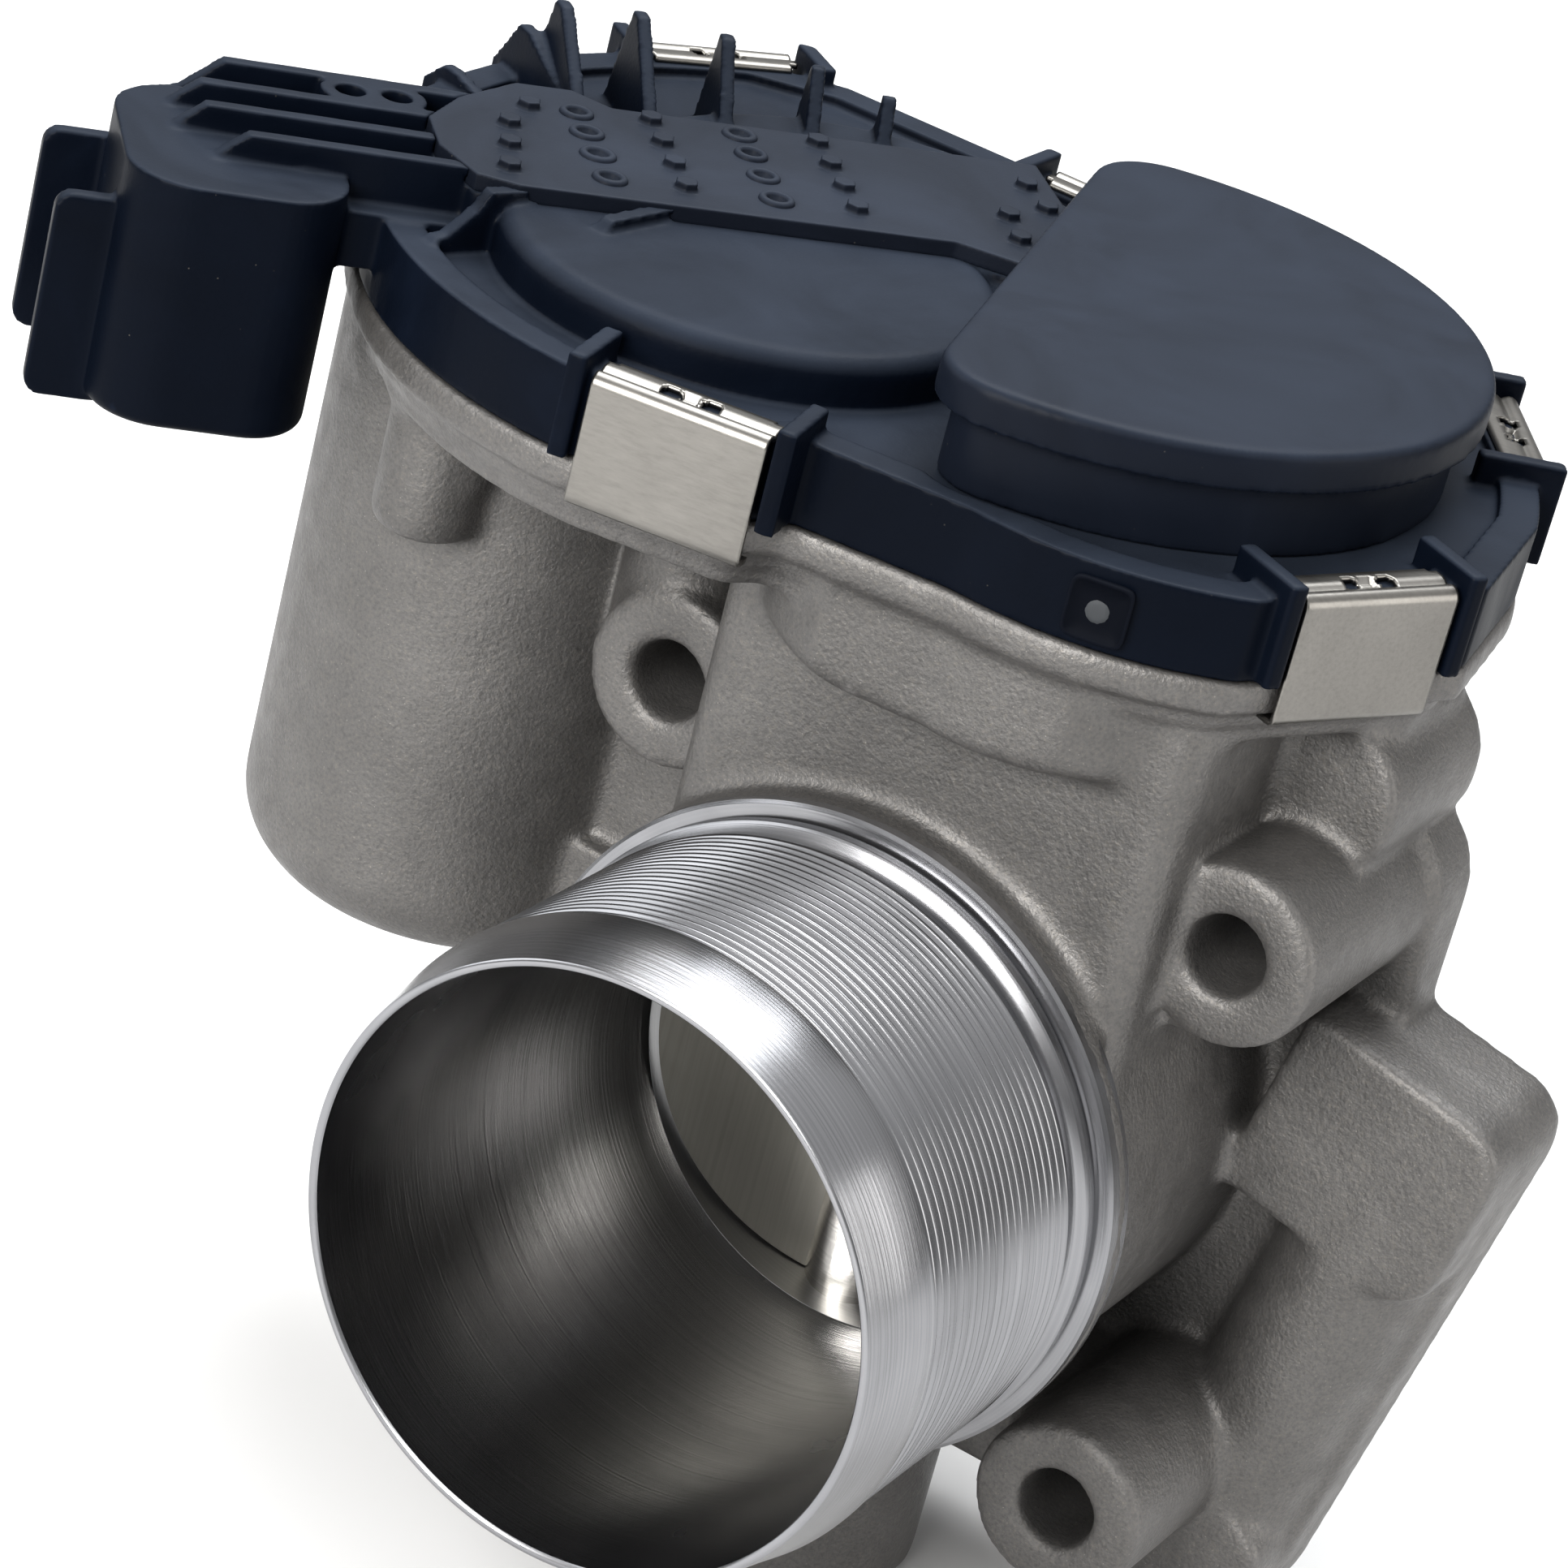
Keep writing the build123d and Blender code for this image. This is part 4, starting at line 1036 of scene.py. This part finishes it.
@dataclass
class CarriedParts:
    """CAD parts that keep their own shape and get a worked finish and eased edges."""

    finishes: dict[str, Finish] = field(default_factory=lambda: {
        "throttle_shaft": SHAFT_STEEL, "throttle_plate": PLATE_METAL, "plate_screws": SHAFT_STEEL,
        "upper_bearing": SHAFT_STEEL, "lower_bearing": SHAFT_STEEL, "shaft_seal": RUBBER,
        "bearing_plug": SHAFT_STEEL, "sector_gear": GEAR_PLASTIC, "sensor_magnet": MAGNET,
        "idler_gear": GEAR_PLASTIC, "idler_pin": SHAFT_STEEL, "return_spring": SHAFT_STEEL,
        "spring_bush": GEAR_PLASTIC, "motor_case": SHAFT_STEEL, "motor_magnets": MAGNET,
        "armature_core": CORE_STEEL, "armature_winding": COPPER, "commutator": COPPER,
        "motor_shaft": SHAFT_STEEL, "motor_bushes": BRASS, "motor_end_cap": COVER_PLASTIC,
        "brushes": CARBON, "brush_springs": SHAFT_STEEL, "motor_plate": CLIP_STEEL,
        "motor_screws": SHAFT_STEEL, "motor_pinion": BRASS, "wave_spring": SHAFT_STEEL,
        "motor_terminals": BRASS, "sensor_board": BOARD, "sensor_chip": COVER_PLASTIC,
        "sensor_pins": BRASS, "flange_seal": RUBBER, "connector_pins": BRASS, "cover_seal": RUBBER})
    eased: tuple[str, ...] = ("throttle_plate", "plate_screws", "motor_plate", "bearing_plug", "idler_pin")
    edge: float = 0.12

    def build(self) -> list[bpy.types.Object]:
        """Eases the edges of the parts that need it and dresses every carried part.

        Returns:
            The carried parts.
        """
        made = []
        for node, finish in self.finishes.items():
            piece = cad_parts[node]
            if node in self.eased:
                bevel(piece, self.edge)
            SHOP.dress(piece, finish)
            made.append(piece)
        return made


# ---------------------------------------------------------------- studio
@dataclass
class Lamp:
    """One soft studio light."""

    name: str
    place: Point
    power: float
    width: float
    colour: Colour = (1.0, 1.0, 1.0)

    def build(self, target: Vector) -> None:
        """Hangs the light facing the target.

        Args:
            target: the point that it faces.
        """
        data = bpy.data.lights.new(self.name, "AREA")
        data.energy, data.size, data.color = self.power, self.width, self.colour
        lamp = bpy.data.objects.new(self.name, data)
        lamp.location = self.place
        lamp.rotation_euler = (target - lamp.location).to_track_quat("-Z", "Y").to_euler()
        bpy.context.scene.collection.objects.link(lamp)


@dataclass
class Studio:
    """The camera, the lights and the plain pale floor."""

    camera_place: Point = (0.16182, -0.40019, 0.22535)
    azimuth: float = 25.385
    elevation: float = 26.171
    roll: float = 14.691
    lens: float = 126.536
    aim: Point = (0.0, -0.02, 0.01)
    floor_reach: float = 4.0
    floor_gap: float = 0.0005
    backdrop: float = 0.95
    sky: tuple[tuple[float, float], ...] = ((0.05, 0.22), (0.8, 1.0))
    lamps: tuple[Lamp, ...] = (
        Lamp("key", (-0.05, -0.68, 0.36), 9.0, 0.4, (1.0, 0.985, 0.96)),
        Lamp("overhead", (-0.15, 0.25, 0.75), 9.0, 0.6, (0.97, 0.985, 1.0)),
        Lamp("rim", (0.62, 0.1, 0.2), 1.8, 0.4, (1.0, 0.98, 0.95)),
        Lamp("fill", (-0.6, -0.3, 0.3), 1.5, 0.4, (0.97, 0.985, 1.0)))

    def camera(self) -> bpy.types.Object:
        """Stands the camera at its place, turned by azimuth, elevation and roll.

        Returns:
            The camera.
        """
        turn, rise, roll = (math.radians(a) for a in (self.azimuth, self.elevation, self.roll))
        back = Vector((math.sin(turn) * math.cos(rise), -math.cos(turn) * math.cos(rise), math.sin(rise)))
        right = Vector((0, 0, 1)).cross(back).normalized()
        up = back.cross(right)
        across = right * math.cos(roll) + up * math.sin(roll)
        above = up * math.cos(roll) - right * math.sin(roll)
        camera = bpy.data.objects.new("camera", bpy.data.cameras.new("camera"))
        camera.matrix_world = Matrix.Translation(self.camera_place) @ Matrix(
            (across, above, back)).transposed().to_4x4()
        camera.data.sensor_width = 36.0
        camera.data.lens = self.lens
        camera.data.clip_end = 20.0
        bpy.context.scene.collection.objects.link(camera)
        bpy.context.scene.camera = camera
        return camera

    def floor(self) -> bpy.types.Object:
        """Lays a large pale floor just under the object.

        Returns:
            The floor.
        """
        work = bmesh.new()
        bmesh.ops.create_grid(work, x_segments=8, y_segments=8, size=self.floor_reach,
                              matrix=Matrix.Translation((0, 0, CAD_BOX[0].z - self.floor_gap)))
        mesh = bpy.data.meshes.new("floor")
        work.to_mesh(mesh)
        work.free()
        floor = bpy.data.objects.new("floor", mesh)
        bpy.context.scene.collection.objects.link(floor)
        bench = NodeBench("pale_floor")
        bench.feed("Base Color", bench.ramp(bench.noise(3.0, 2.0), [(0.3, grey(0.62)), (0.7, grey(0.65))]))
        bench.fix(Roughness=0.85)
        floor.data.materials.append(bench.material)
        return floor

    def build(self) -> None:
        """Sets up the camera, floor, lights and surrounding light."""
        self.camera()
        self.floor()
        for lamp in self.lamps:
            lamp.build(Vector(self.aim))
        self.surroundings()
        bpy.context.scene.view_settings.view_transform = "Standard"

    def surroundings(self) -> None:
        """Makes the soft light all round, dim at the horizon and bright overhead."""
        world = bpy.data.worlds.new("studio")
        bpy.context.scene.world = world
        world.use_nodes = True
        tree = world.node_tree
        background = tree.nodes["Background"]
        split = tree.nodes.new("ShaderNodeSeparateXYZ")
        tree.links.new(tree.nodes.new("ShaderNodeTexCoord").outputs["Generated"], split.inputs["Vector"])
        fade = tree.nodes.new("ShaderNodeValToRGB")
        for element, (position, level) in zip(fade.color_ramp.elements, self.sky):
            element.position = position
            element.color = (level, level, level, 1.0)
        tree.links.new(split.outputs["Z"], fade.inputs["Fac"])
        tree.links.new(fade.outputs["Color"], background.inputs["Color"])
        background.inputs["Strength"].default_value = self.backdrop


def main() -> None:
    """Builds the sub-assemblies in order and reports each piece."""
    logging.basicConfig(level=logging.INFO, format="%(message)s")
    Studio().build()
    for assembly in (Casting(), HoseSpigot(), SpringClips(), CoverMouldings(), PinCraters(), InspectionMark(),
                     CarriedParts()):
        for piece in assembly.build():
            LOG.info("%s: %s with %d faces", type(assembly).__name__, piece.name, len(piece.data.polygons))


if __name__ == "__main__":
    main()
